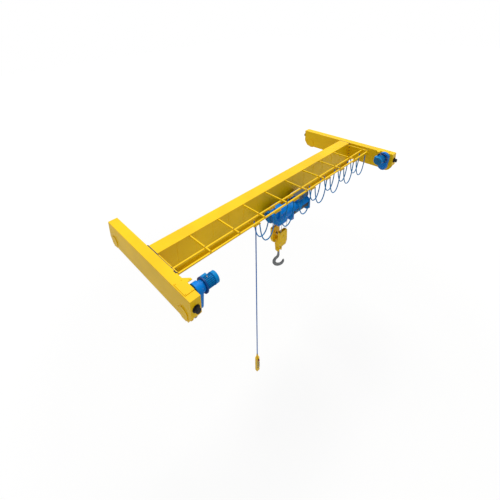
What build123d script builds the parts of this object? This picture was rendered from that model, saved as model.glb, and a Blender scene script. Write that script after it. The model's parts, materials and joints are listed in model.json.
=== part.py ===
from build123d import *
from math import tan, radians
import os

# Overhead bridge crane: a box girder on two wheeled end carriages, a rope hoist that runs on the girder's
# bottom flange, and two cable rails on arms at the girder's side, with hanging cable loops and a pendant.
# Millimetres, +Z up. The origin lies at the bottom of the wheel treads, under the near carriage's middle.
# X runs along the girder to the far carriage, Y runs along the carriages, the cable rails lie at -Y.

# Whole crane
SPAN = 7120.0  # between the middles of the two carriages
RUN_CLEAR = 0.05  # radial clearance of a shaft in its bearing
TOUCH_GAP = 0.3  # gap under a curved face that rests on another body

# End carriages
CAR_W = 210.0
CAR_L = 2860.0
CAR_H = 500.0
CAR_LIFT = 40.0  # underside above the bottom of the wheel treads
CAR_PLATE = 10.0
CAR_NOSE_Z = 188.0  # where the upright end turns into the sloping lower corner
CAR_NOSE_IN = 100.0  # how far that corner comes in at the underside
CAR_TOP = CAR_LIFT + CAR_H
WHEEL_INSET = 215.0  # wheel axle from the end of its carriage
WHEEL_BASE = CAR_L - 2 * WHEEL_INSET
WHEEL_R = 157.5
WHEEL_FLANGE_R = 175.0
TREAD_W = 60.0
WHEEL_FLANGE_W = 18.0
HUB_R = 62.0
HUB_W = 130.0
WEB_RECESS = 24.0
AXLE_R = 35.0
BEARING_R = 116.0
BEARING_OUT = 14.0
BEARING_CAP = 8.0
WHEEL_BAY = 195.0  # half the opening for a wheel in the bottom plate
BUFFER_R = 52.0
BUFFER_L = 64.0
BUFFER_PLATE_R = 72.0
BUFFER_PLATE_T = 12.0
BUFFER_Z = 345.0
COVER_T = 12.0  # raised plate over the driven wheel, which reaches out beside the drive as its bracket
COVER_IN = 20.0  # from the carriage's outer side
COVER_Y = (-70.0, 255.0)  # from the wheel axle
BRACKET_OUT = 100.0
BRACKET_Y = (123.0, 165.0)  # its outer edge, from the wheel axle

# Main girder
GIRDER_W = 300.0
GIRDER_H = 690.0
TOP_T = 16.0
BOTTOM_W = 340.0
BOTTOM_T = 20.0
BOTTOM_LIP = 58.0  # bottom flange beyond the web, where the trolley's rollers run
WEB_Y = BOTTOM_W / 2 - BOTTOM_LIP  # outer face of a web plate
WEB_T = 8.0
END_T = 20.0
END_W = 360.0
DIAPHRAGMS = 5
DIAPHRAGM_T = 8.0
GIRDER_X0 = CAR_W / 2
GIRDER_X1 = SPAN - CAR_W / 2
GIRDER_Z0 = CAR_TOP - GIRDER_H
FLANGE_TOP = GIRDER_Z0 + BOTTOM_T

# Travel drives
DRIVE_UP = 290.0  # motor axis above the wheel axle
DRIVE_SIDE = 14.0  # motor axis beyond the axle towards the carriage end
GEAR_LOW_R = 112.0
GEAR_HIGH_R = 130.0
GEAR_FOOT = 74.0
GEAR_BOSS_R = 60.0
GEAR_BOSS_L = 6.0
GEAR_T = 100.0
DRIVE_NECK_R = 104.0
DRIVE_NECK_L = 75.0
RING_R = 145.0
RING_T = 25.0
MOTOR_R = 96.0
MOTOR_L = 190.0
FIN_COUNT = 24
FIN_T = 5.0
FIN_H = 14.0
FAN_R = 108.0
FAN_L = 70.0
TERMINAL = (120.0, 46.0, 110.0)

# Cable arms and rails
ARM_COUNT = 10
ARM_X0 = 128.0
ARM_END = 242.0  # last arm from the middle of the far carriage
ARM_PITCH = (SPAN - ARM_X0 - ARM_END) / (ARM_COUNT - 1)
ARM_SIDE = 28.0
ARM_WALL = 3.0
INNER_Y = -610.0
OUTER_Y = -772.0
RAIL_SIDE = 30.0
RAIL_WALL = 3.0
RAIL_SLOT = 12.0
RAIL_OVER = 40.0  # rail beyond the first and last arm
ARM_TOP = CAR_TOP - TOP_T
ARM_LOW = ARM_TOP - ARM_SIDE
RAIL_LOW = ARM_LOW - RAIL_SIDE

# Cable trolleys, cable loops and pendant
HANGER_COUNT = 8
HANGER_X0 = 2139.0
HANGER_END = 35.0  # last cable trolley from the last arm
HANGER_PITCH = (ARM_PITCH * (ARM_COUNT - 1) + ARM_X0 - HANGER_END - HANGER_X0) / (HANGER_COUNT - 1)
HEAD = (56.0, 20.0, 14.0)
NECK = (24.0, 8.0)
LUG_TOP_W = 80.0
LUG_LOW_W = 176.0
LUG_H = 24.0
LUG_T = 10.0
LUG_DROP = 5.0  # gap from the rail to the lug
CLAMP = (200.0, 34.0, 12.0)
CABLE_R = 13.0
CABLE_OFF = 80.0  # cable from the middle of its clamp
PENDANT_OFF = 39.0
LOOP_LOW = -115.0
LOOP_X_SHARES = (1.0, 0.93, 0.80, 0.58, 0.24)
LOOP_Z_SHARES = (0.0, 0.25, 0.56, 0.83, 1.0)
RADIUS_SHARE = 0.45
PENDANT_TOP = -3308.0
BOOT_L = 110.0
BOOT_R0 = 17.0
BOOT_R1 = 30.0
HANDLE = (92.0, 74.0, 430.0)
HANDLE_ROUND = 14.0
BUTTON_R = 15.0
BUTTON_OUT = 9.0
BUTTON_ROWS = 4
BUTTON_PITCH = 62.0
BUTTON_DROP = 110.0
STOP_R = 22.0
STOP_OUT = 22.0
CLAMP_LOW = RAIL_LOW - LUG_DROP - LUG_H - CLAMP[2]

# Trolley on the bottom flange
HOIST_X = 3843.0  # hook's place along the girder
PLATE_GAP = 16.0  # from the flange's edge to a side plate
PLATE_Y = BOTTOM_W / 2 + PLATE_GAP  # inner face of a trolley side plate
PLATE_T = 12.0
PLATE_BACK = 620.0  # side plate from the hook towards the near carriage
PLATE_AHEAD = 590.0  # and towards the far carriage
PLATE_X0 = HOIST_X - PLATE_BACK
PLATE_X1 = HOIST_X + PLATE_AHEAD
PLATE_Z0 = -264.0
PLATE_Z1 = -40.0
HUMP_Z = 70.0
HUMP_TOP_W = 90.0
HUMP_LOW_W = 190.0
ROLLER_BASE = 920.0  # between the rollers on one side
ROLLER_XS = (HOIST_X - ROLLER_BASE / 2, HOIST_X + ROLLER_BASE / 2)
ROLLER_R = 60.0
ROLLER_GAP = 14.0  # from the web to a roller
ROLLER_Y = WEB_Y + ROLLER_GAP  # inner face of a roller
ROLLER_W = 36.0
STUB_R = 20.0
STUB_OUT = 4.0
BEAM_SIDE = 64.0
BEAM_WALL = 6.0
BEAM_PITCH = 606.0
BEAM_XS = (HOIST_X - BEAM_PITCH / 2, HOIST_X + BEAM_PITCH / 2)
BEAM_Z1 = -184.0
ANCHOR_W = 50.0

# Rope hoist
DRUM_Z = -190.0
DRUM_R = 130.0
DRUM_RIM_R = 150.0
DRUM_RIM_T = 12.0
DRUM_WALL = 14.0
DRUM_SHAFT_R = 34.0
DRUM_GAP = 6.0
GEAR_LEN = 240.0
GEAR_BACK = 640.0  # gearbox's outer end from the hook
GEAR_X0 = HOIST_X - GEAR_BACK
GEAR_X1 = GEAR_X0 + GEAR_LEN
HOIST_GAP = 34.0  # from the front side plate to the hoist
HOIST_DEPTH = 328.0
GEAR_Y1 = -PLATE_Y - PLATE_T - HOIST_GAP
GEAR_Y0 = GEAR_Y1 - HOIST_DEPTH
DRUM_IN = 152.0  # drum axis from the hoist's inner side
DRUM_Y = GEAR_Y1 - DRUM_IN
GEAR_Z0 = -320.0
GEAR_Z1 = 130.0
GEAR_CUT = 70.0
BRAKE_R = 160.0  # round housing between the gearbox and the drum
BRAKE_Z = -110.0
FRAME_BACK = 155.0
FRAME_X0 = HOIST_X - FRAME_BACK  # first of the two frame plates that carry the drum
FRAME_T = 22.0
FRAME_Z0 = -395.0
GUARD_R = 164.0
GUARD_T = 8.0
GUARD_OPEN = 84.0
GUARD_OPEN_Y = DRUM_Y + GUARD_OPEN  # the rope side of the guard is open from here
GUARD_LOW = 35.0
GUARD_LOW_Z = DRUM_Z - GUARD_LOW
DRUM_END_AHEAD = 527.0
DRUM_END_X0 = HOIST_X + DRUM_END_AHEAD
DRUM_CAP_L = 58.0
DRUM_CAP_X1 = DRUM_END_X0 + FRAME_T + DRUM_CAP_L
DRUM_CAP_R = 120.0
SPACER_Z = (-190.0, -110.0)
HOIST_MOTOR_Z = -10.0
HOIST_MOTOR_R = 128.0
HOIST_MOTOR_L = 150.0
HOIST_FAN_R = 138.0
HOIST_FAN_L = 83.0
FRAME_Z1 = DRUM_Z + GUARD_R + GUARD_T
PANEL_LEN = 470.0
PANEL_FRONT = 90.0  # panel back from the hoist's outer side
PANEL_BACK = 18.0  # and from its inner side
PANEL_H = 158.0
PANEL_X = (PLATE_X1 - PANEL_LEN, PLATE_X1)
PANEL_Y = (GEAR_Y0 + PANEL_FRONT, GEAR_Y1 - PANEL_BACK)
PANEL_Z = (FRAME_Z1, FRAME_Z1 + PANEL_H)
PANEL_LID = 10.0
LID_OVER = 6.0
WEIGHT = (540.0, 192.0, 154.0)
WEIGHT_BACK = 440.0
WEIGHT_UP = 14.0  # above the side plates' lower edge
WEIGHT_X = (HOIST_X - WEIGHT_BACK, HOIST_X - WEIGHT_BACK + WEIGHT[0])
WEIGHT_Y = (PLATE_Y + PLATE_T, PLATE_Y + PLATE_T + WEIGHT[1])
WEIGHT_Z = (PLATE_Z0 + WEIGHT_UP, PLATE_Z0 + WEIGHT_UP + WEIGHT[2])
TRAVEL_BOX = (150.0, 90.0, 170.0)
TRAVEL_MOTOR_R = 66.0
TRAVEL_MOTOR_L = 250.0

# Rope and hook block
ROPE_R = 6.5
SHEAVE_R = 112.0
SHEAVE_W = 40.0
SHEAVE_Y = 125.0
SHEAVE_Z = -1150.0
SHEAVE_GROOVE = 14.0
SHELL_W = 290.0
SHELL_T = 80.0
SHELL_WALL = 6.0
SHELL_Z1 = -962.0
SHELL_Z0 = -1430.0
SHELL_CUT = 52.0
PIN_R = 24.0
YOKE_X = 64.0
YOKE_T = 16.0
YOKE_TOP_Z = -1300.0
YOKE_TOP_W = 2 * SHEAVE_Y - SHELL_T  # fits between the two shells
YOKE_TIP_Z = -1680.0
YOKE_TIP_W = 110.0
TRUNNION_R = 52.0
TRUNNION_Z = -1620.0
SHANK_R = 30.0
NUT_R = 46.0
NUT_H = 34.0
HOOK_T = 66.0
HOOK_OUT_R = 168.0
HOOK_IN_R = 92.0
HOOK_OUT_Z = -2060.0
HOOK_IN_Z = -2036.0
HOOK_IN_X = 16.0
HOOK_SHANK_LOW = -1910.0
HOOK_TURN = -35.0  # how the hook stands on its swivel
HOOK_CHAMFER = 14.0
MOUTH = ((20.0, 260.0), (-2010.0, -1770.0))

# End stops of the trolley run
STOP_NEAR = 430.0  # from the middle of the near carriage
STOP_FAR = 630.0  # from the far one
STOP_XS = (STOP_NEAR, SPAN - STOP_FAR)
STOP_BLOCK = (40.0, 56.0, 120.0)
STOP_BUFFER_R = 26.0
STOP_BUFFER_L = 50.0

AXLE_Z = WHEEL_R
NODES = {}


def span_box(x, y, z):
    """A block between the (low, high) pairs on X, Y and Z."""
    size = (x[1] - x[0], y[1] - y[0], z[1] - z[0])
    middle = ((x[0] + x[1]) / 2, (y[0] + y[1]) / 2, (z[0] + z[1]) / 2)
    return Pos(*middle) * Box(*size)


def block_at(x, y, size, low):
    """A box centred on x and y, standing on the height low."""
    return span_box((x - size[0] / 2, x + size[0] / 2), (y - size[1] / 2, y + size[1] / 2), (low, low + size[2]))


def rod_x(radius, x, y, z):
    return Pos((x[0] + x[1]) / 2, y, z) * Rot(0, 90, 0) * Cylinder(radius, abs(x[1] - x[0]))


def rod_y(radius, x, y, z):
    return Pos(x, (y[0] + y[1]) / 2, z) * Rot(90, 0, 0) * Cylinder(radius, abs(y[1] - y[0]))


def rod_z(radius, x, y, z):
    return Pos(x, y, (z[0] + z[1]) / 2) * Cylinder(radius, abs(z[1] - z[0]))


def slab_yz(points, x):
    """A flat plate with its outline in Y and Z, between the (low, high) pair on X."""
    outline = Polyline(*[(x[0], a, b) for a, b in points], close=True)
    return extrude(make_face(outline), amount=x[1] - x[0], dir=(1, 0, 0))


def slab_xz(points, y):
    outline = Polyline(*[(a, y[0], b) for a, b in points], close=True)
    return extrude(make_face(outline), amount=y[1] - y[0], dir=(0, 1, 0))


def joined(shapes):
    """One solid from pieces that touch or overlap."""
    shapes = list(shapes)
    return shapes[0].fuse(*shapes[1:]) if len(shapes) > 1 else shapes[0]


def group(shapes):
    return Compound(children=[s for shape in shapes for s in shape.solids()])


def save(name, shape):
    NODES[name] = shape


def girder():
    x = (GIRDER_X0, GIRDER_X1)
    top = span_box(x, (-GIRDER_W / 2, GIRDER_W / 2), (CAR_TOP - TOP_T, CAR_TOP))
    bottom = span_box(x, (-BOTTOM_W / 2, BOTTOM_W / 2), (GIRDER_Z0, FLANGE_TOP))
    inside_x = (GIRDER_X0 + END_T, GIRDER_X1 - END_T)
    inside_z = (FLANGE_TOP, CAR_TOP - TOP_T)
    webs = [span_box(inside_x, sorted((side * WEB_Y, side * (WEB_Y - WEB_T))), inside_z) for side in (-1, 1)]
    ends = [
        span_box(sorted((a, b)), (-END_W / 2, END_W / 2), inside_z)
        for a, b in ((GIRDER_X0, inside_x[0]), (inside_x[1], GIRDER_X1))
    ]
    pitch = (inside_x[1] - inside_x[0]) / (DIAPHRAGMS + 1)
    plates = []
    for index in range(DIAPHRAGMS):
        middle = inside_x[0] + pitch * (index + 1)
        x_pair = (middle - DIAPHRAGM_T / 2, middle + DIAPHRAGM_T / 2)
        plates.append(span_box(x_pair, (-WEB_Y + WEB_T, WEB_Y - WEB_T), inside_z))
    save("girder_top_flange", top)
    save("girder_bottom_flange", bottom)
    save("girder_webs", group([*webs, *ends, *plates]))


def carriage_outline():
    half = CAR_L / 2
    low = half - CAR_NOSE_IN
    return [(-half, CAR_TOP), (half, CAR_TOP), (half, CAR_NOSE_Z), (low, CAR_LIFT), (-low, CAR_LIFT), (-half, CAR_NOSE_Z)]


def drive_bracket(x_mid, direction):
    """The raised plate over the driven wheel, with its overhang beside the drive."""
    axle = -WHEEL_BASE / 2
    outer = x_mid - direction * (CAR_W / 2 - COVER_IN)
    inner = x_mid + direction * CAR_W / 2
    tip = inner + direction * BRACKET_OUT
    corners = [
        (outer, axle + COVER_Y[0], CAR_TOP),
        (inner, axle + COVER_Y[0], CAR_TOP),
        (inner, axle + BRACKET_Y[0], CAR_TOP),
        (tip, axle + BRACKET_Y[0], CAR_TOP),
        (tip, axle + BRACKET_Y[1], CAR_TOP),
        (inner, axle + COVER_Y[1], CAR_TOP),
        (outer, axle + COVER_Y[1], CAR_TOP),
    ]
    return extrude(make_face(Polyline(*corners, close=True)), amount=COVER_T, dir=(0, 0, 1))


def carriage(x_mid, direction):
    """A hollow carriage beam with its bearing housings and the raised plate over the driven wheel."""
    half_w = CAR_W / 2
    half_l = CAR_L / 2
    inner = half_w - CAR_PLATE
    sides = [slab_yz(carriage_outline(), sorted((x_mid + s * half_w, x_mid + s * inner))) for s in (-1, 1)]
    x = (x_mid - inner, x_mid + inner)
    top = span_box(x, (-half_l, half_l), (CAR_TOP - CAR_PLATE, CAR_TOP))
    bay = WHEEL_BASE / 2 - WHEEL_BAY
    bottom = span_box(x, (-bay, bay), (CAR_LIFT, CAR_LIFT + CAR_PLATE))
    pieces = [*sides, top, bottom]
    for s in (-1, 1):
        pieces.append(span_box(x, sorted((s * half_l, s * (half_l - CAR_PLATE))), (CAR_NOSE_Z, CAR_TOP)))
        y = s * WHEEL_BASE / 2
        for side in (-1, 1):
            face = x_mid + side * inner
            pieces.append(rod_x(BEARING_R, sorted((face, x_mid + side * (half_w + BEARING_OUT))), y, AXLE_Z))
        bulk = s * bay
        pieces.append(span_box(x, sorted((bulk, bulk - s * CAR_PLATE)), (CAR_LIFT, CAR_TOP - CAR_PLATE)))
    body = joined([*pieces, drive_bracket(x_mid, direction)])
    bore_half = half_w + BEARING_OUT - BEARING_CAP
    for s in (-1, 1):
        body = body - rod_x(AXLE_R + RUN_CLEAR, (x_mid - bore_half, x_mid + bore_half), s * WHEEL_BASE / 2, AXLE_Z)
    return body


def wheel(x_mid, y):
    tread = rod_x(WHEEL_R, (x_mid - TREAD_W / 2, x_mid + TREAD_W / 2), y, AXLE_Z)
    pieces = [tread, rod_x(HUB_R, (x_mid - HUB_W / 2, x_mid + HUB_W / 2), y, AXLE_Z)]
    for s in (-1, 1):
        a = x_mid + s * TREAD_W / 2
        pieces.append(rod_x(WHEEL_FLANGE_R, sorted((a, a + s * WHEEL_FLANGE_W)), y, AXLE_Z))
    body = joined(pieces)
    face = TREAD_W / 2 + WHEEL_FLANGE_W
    for s in (-1, 1):
        a = x_mid + s * face
        b = x_mid + s * (face - WEB_RECESS)
        ring = rod_x(WHEEL_R - WEB_RECESS, sorted((a, b)), y, AXLE_Z) - rod_x(HUB_R, sorted((a, b)), y, AXLE_Z)
        body = body - ring
    reach = CAR_W / 2 + BEARING_OUT - BEARING_CAP - BEARING_CAP / 2
    return joined([body, rod_x(AXLE_R, (x_mid - reach, x_mid + reach), y, AXLE_Z)])


def buffers(x_mid):
    done = []
    for s in (-1, 1):
        a = s * CAR_L / 2
        b = a + s * BUFFER_PLATE_T
        plate = rod_y(BUFFER_PLATE_R, x_mid, sorted((a, b)), BUFFER_Z)
        pad = rod_y(BUFFER_R, x_mid, sorted((b, b + s * BUFFER_L)), BUFFER_Z)
        far = pad.faces().sort_by(Axis.Y)[-1 if s > 0 else 0]
        pad = fillet(far.edges(), BUFFER_R / 4)
        done.append(joined([plate, pad]))
    return group(done)


def drive(x_face, direction):
    """Gearbox and motor on a carriage face; direction points along X from the face towards the girder's middle."""
    y_low = -WHEEL_BASE / 2
    y_high = y_low - DRIVE_SIDE
    z_high = AXLE_Z + DRIVE_UP
    a = x_face + direction * (BEARING_OUT + GEAR_BOSS_L)
    b = a + direction * GEAR_T
    low = Pos(y_low, AXLE_Z) * Circle(GEAR_LOW_R)
    high = Pos(y_high, z_high) * Circle(GEAR_HIGH_R)
    outline = make_hull(low.edges() + high.edges())
    case = Plane(origin=(min(a, b), 0, 0), x_dir=(0, 1, 0), z_dir=(1, 0, 0)) * extrude(outline, amount=GEAR_T)
    boss = rod_x(GEAR_BOSS_R, sorted((x_face + direction * BEARING_OUT, a)), y_low, AXLE_Z)
    foot = span_box(sorted((x_face, a)), (y_high - GEAR_FOOT, y_high + GEAR_FOOT), (z_high - GEAR_FOOT, z_high + RING_T))
    neck_end = b + direction * DRIVE_NECK_L
    neck = rod_x(DRIVE_NECK_R, sorted((b, neck_end)), y_high, z_high)
    gearbox = joined([case, boss, foot, neck])
    c = neck_end + direction * RING_T
    ring = rod_x(RING_R, sorted((neck_end, c)), y_high, z_high)
    d = c + direction * MOTOR_L
    core = rod_x(MOTOR_R, sorted((c, d)), y_high, z_high)
    fins = []
    for index in range(FIN_COUNT):
        fin = Box(MOTOR_L, FIN_T, FIN_H * 2)
        turn = 360.0 * index / FIN_COUNT
        fins.append(Pos((c + d) / 2, y_high, z_high) * Rot(turn, 0, 0) * Pos(0, 0, MOTOR_R) * fin)
    fan = rod_x(FAN_R + FIN_H / 4, sorted((d, d + direction * FAN_L)), y_high, z_high)
    box_x = c + direction * MOTOR_L / 2
    box = span_box(
        (box_x - TERMINAL[0] / 2, box_x + TERMINAL[0] / 2),
        (y_high + MOTOR_R - FIN_H, y_high + MOTOR_R + TERMINAL[1]),
        (z_high - TERMINAL[2] / 2, z_high + TERMINAL[2] / 2),
    )
    return gearbox, ring, joined([core, *fins, fan, box])


def arms():
    done = []
    for index in range(ARM_COUNT):
        middle = ARM_X0 + ARM_PITCH * index
        x = (middle - ARM_SIDE / 2, middle + ARM_SIDE / 2)
        y = (OUTER_Y - RAIL_SIDE / 2, -WEB_Y)
        if index == 0:
            y = (OUTER_Y - RAIL_SIDE / 2, -END_W / 2)
        arm = span_box(x, y, (ARM_LOW, ARM_TOP))
        hollow = span_box(
            (x[0] + ARM_WALL, x[1] - ARM_WALL),
            (y[0] + ARM_WALL, y[1] - ARM_WALL),
            (ARM_LOW + ARM_WALL, ARM_TOP - ARM_WALL),
        )
        done.append(arm - hollow)
    return group(done)


def rail(y):
    x = (ARM_X0 - ARM_SIDE / 2, ARM_X0 + ARM_PITCH * (ARM_COUNT - 1) + RAIL_OVER)
    half = RAIL_SIDE / 2
    body = span_box(x, (y - half, y + half), (RAIL_LOW, ARM_LOW))
    hollow = span_box(x, (y - half + RAIL_WALL, y + half - RAIL_WALL), (RAIL_LOW + RAIL_WALL, ARM_LOW - RAIL_WALL))
    slot = span_box(x, (y - RAIL_SLOT / 2, y + RAIL_SLOT / 2), (RAIL_LOW, RAIL_LOW + RAIL_WALL))
    return body - hollow - slot


def hanger_xs():
    return [HANGER_X0 + HANGER_PITCH * index for index in range(HANGER_COUNT)]


def cable_trolleys(y):
    """Cable trolleys: a head that runs in the rail, a three-cornered lug and a cable clamp."""
    done = []
    lug_top = RAIL_LOW - LUG_DROP
    lug_low = lug_top - LUG_H
    for x in hanger_xs():
        head_z = RAIL_LOW + RAIL_WALL
        head = block_at(x, y, HEAD, head_z)
        neck = block_at(x, y, (*NECK, head_z - lug_top), lug_top)
        corners = [
            (x - LUG_TOP_W / 2, lug_top),
            (x + LUG_TOP_W / 2, lug_top),
            (x + LUG_LOW_W / 2, lug_low),
            (x - LUG_LOW_W / 2, lug_low),
        ]
        lug = slab_xz(corners, (y - LUG_T / 2, y + LUG_T / 2))
        clamp = block_at(x, y, CLAMP, CLAMP_LOW)
        done.append(joined([head, neck, lug, clamp]))
    return group(done)


def loop_points(x0, x1, y):
    """Route of one hanging loop from the clamp at x0 to the clamp at x1."""
    middle = (x0 + x1) / 2
    half = (x1 - x0) / 2 - CABLE_OFF
    drop = CLAMP_LOW - LOOP_LOW
    left = [(middle - half * a, y, CLAMP_LOW - drop * b) for a, b in zip(LOOP_X_SHARES, LOOP_Z_SHARES)]
    right = [(2 * middle - p[0], p[1], p[2]) for p in reversed(left)]
    return left + right


def corner_radii(points):
    radii = []
    for before, here, after in zip(points, points[1:], points[2:]):
        run_in = Vector(*here) - Vector(*before)
        run_out = Vector(*after) - Vector(*here)
        turn = run_in.get_angle(run_out)
        radii.append(RADIUS_SHARE * min(run_in.length, run_out.length) / tan(radians(turn) / 2))
    return radii


def cable_loops(y):
    xs = hanger_xs()
    points = loop_points(xs[0], xs[1], y)
    path = FilletPolyline(*points, radius=corner_radii(points))
    start = Plane(origin=points[0], z_dir=Vector(*points[1]) - Vector(*points[0]))
    loop = sweep(start * Circle(CABLE_R), path=path)
    loop = loop - span_box((xs[0], xs[1]), (y - CABLE_R * 2, y + CABLE_R * 2), (CLAMP_LOW, RAIL_LOW))
    return group([Pos(HANGER_PITCH * index, 0, 0) * loop for index in range(HANGER_COUNT - 1)])


def pendant():
    x = HANGER_X0 - PENDANT_OFF
    y = OUTER_Y
    cable = rod_z(CABLE_R, x, y, (PENDANT_TOP, CLAMP_LOW))
    boot_low = PENDANT_TOP - BOOT_L
    boot = Pos(x, y, (PENDANT_TOP + boot_low) / 2) * Cone(BOOT_R1, BOOT_R0, BOOT_L)
    low = boot_low - HANDLE[2]
    case = block_at(x, y, HANDLE, low)
    case = fillet(case.edges().filter_by(Axis.Z), HANDLE_ROUND)
    face = y - HANDLE[1] / 2
    buttons = []
    for row in range(BUTTON_ROWS):
        z = boot_low - BUTTON_DROP - BUTTON_PITCH * row
        for s in (-1, 1):
            buttons.append(rod_y(BUTTON_R, x + s * HANDLE[0] / 4, (face - BUTTON_OUT, face), z))
    stop_z = boot_low - BUTTON_DROP / 2
    stop = rod_y(STOP_R, x, (face - STOP_OUT, face), stop_z)
    save("pendant_cable", cable)
    save("pendant_handle", joined([case, boot]))
    save("pendant_buttons", group([*buttons, stop]))


def plate_outline():
    """Outline of a trolley side plate, with a hump over each roller."""
    points = [(PLATE_X0, PLATE_Z0), (PLATE_X0, PLATE_Z1)]
    for x in ROLLER_XS:
        points += [
            (x - HUMP_LOW_W / 2, PLATE_Z1),
            (x - HUMP_TOP_W / 2, HUMP_Z),
            (x + HUMP_TOP_W / 2, HUMP_Z),
            (x + HUMP_LOW_W / 2, PLATE_Z1),
        ]
    points += [(PLATE_X1, PLATE_Z1), (PLATE_X1, PLATE_Z0)]
    return points


def trolley():
    roller_z = FLANGE_TOP + ROLLER_R
    for side, name in ((-1, "front"), (1, "back")):
        y = sorted((side * PLATE_Y, side * (PLATE_Y + PLATE_T)))
        plate = slab_xz(plate_outline(), y)
        for x in ROLLER_XS:
            plate = plate - rod_y(STUB_R + RUN_CLEAR, x, y, roller_z)
        save(f"trolley_plate_{name}", plate)
        for x, end in zip(ROLLER_XS, ("a", "b")):
            near = side * ROLLER_Y
            tread = rod_y(ROLLER_R - TOUCH_GAP, x, sorted((near, near + side * ROLLER_W)), roller_z)
            tip = side * (PLATE_Y + PLATE_T + STUB_OUT)
            stub = rod_y(STUB_R, x, sorted((near, tip)), roller_z)
            save(f"trolley_roller_{name}_{end}", joined([tread, stub]))
    z = (BEAM_Z1 - BEAM_SIDE, BEAM_Z1)
    inner_z = (z[0] + BEAM_WALL, z[1] - BEAM_WALL)
    beams = []
    for x in BEAM_XS:
        pair = (x - BEAM_SIDE / 2, x + BEAM_SIDE / 2)
        body = span_box(pair, (-PLATE_Y, PLATE_Y), z)
        inside = span_box((pair[0] + BEAM_WALL, pair[1] - BEAM_WALL), (-PLATE_Y, PLATE_Y), inner_z)
        beams.append(body - inside)
    anchor = span_box(
        (BEAM_XS[0] + BEAM_SIDE / 2, BEAM_XS[1] - BEAM_SIDE / 2),
        (SHEAVE_Y - ANCHOR_W / 2, SHEAVE_Y + ANCHOR_W / 2),
        z,
    )
    save("trolley_cross_beams", joined([*beams, anchor]))
    save("trolley_counterweight", span_box(WEIGHT_X, WEIGHT_Y, WEIGHT_Z))
    back = PLATE_Y + PLATE_T
    mid = ROLLER_XS[1]
    low = roller_z - TRAVEL_BOX[2] / 2
    box_y = (back + STUB_OUT + DRUM_GAP, back + STUB_OUT + DRUM_GAP + TRAVEL_BOX[1])
    box = span_box((mid - TRAVEL_BOX[0] / 2, mid + TRAVEL_BOX[0] / 2), box_y, (low, low + TRAVEL_BOX[2]))
    foot = span_box((mid - TRAVEL_BOX[0] / 2, mid + TRAVEL_BOX[0] / 2), (back, box_y[1]), (PLATE_Z0, low))
    arm_x = (mid - TRAVEL_BOX[0] / 2 - TRAVEL_MOTOR_L, mid - TRAVEL_BOX[0] / 2)
    motor = rod_x(TRAVEL_MOTOR_R, arm_x, box_y[0] + TRAVEL_BOX[1] / 2 + STUB_R, roller_z)
    save("trolley_travel_drive", joined([box, foot, motor]))


def frame_plate(x):
    """One of the two plates that carry the drum, with cut lower corners and its foot on the trolley."""
    y = (GEAR_Y0, GEAR_Y1)
    outline = [
        (y[0], FRAME_Z0 + GEAR_CUT),
        (y[0] + GEAR_CUT, FRAME_Z0),
        (y[1] - GEAR_CUT, FRAME_Z0),
        (y[1], FRAME_Z0 + GEAR_CUT),
        (y[1], FRAME_Z1),
        (y[0] + GEAR_CUT, FRAME_Z1),
        (y[0], FRAME_Z1 - GEAR_CUT),
    ]
    foot = span_box(x, (y[1], -PLATE_Y - PLATE_T), SPACER_Z)
    return joined([slab_yz(outline, x), foot])


def hoist_motor():
    motor_x = (GEAR_X0 - HOIST_MOTOR_L, GEAR_X0)
    core = rod_x(HOIST_MOTOR_R, motor_x, DRUM_Y, HOIST_MOTOR_Z)
    fins = []
    for index in range(FIN_COUNT):
        fin = Box(HOIST_MOTOR_L, FIN_T, FIN_H * 2)
        place = Pos((motor_x[0] + motor_x[1]) / 2, DRUM_Y, HOIST_MOTOR_Z)
        fins.append(place * Rot(360.0 * index / FIN_COUNT, 0, 0) * Pos(0, 0, HOIST_MOTOR_R - FIN_H / 2) * fin)
    fan = rod_x(HOIST_FAN_R, (motor_x[0] - HOIST_FAN_L, motor_x[0]), DRUM_Y, HOIST_MOTOR_Z)
    save("hoist_motor", joined([core, *fins, fan]))


def hoist_panel():
    panel = span_box(PANEL_X, PANEL_Y, (PANEL_Z[0], PANEL_Z[1] - PANEL_LID))
    lid = span_box(
        (PANEL_X[0] - LID_OVER, PANEL_X[1] + LID_OVER),
        (PANEL_Y[0] - LID_OVER, PANEL_Y[1] + LID_OVER),
        (PANEL_Z[1] - PANEL_LID, PANEL_Z[1]),
    )
    save("hoist_panel", joined([panel, lid]))


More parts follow.
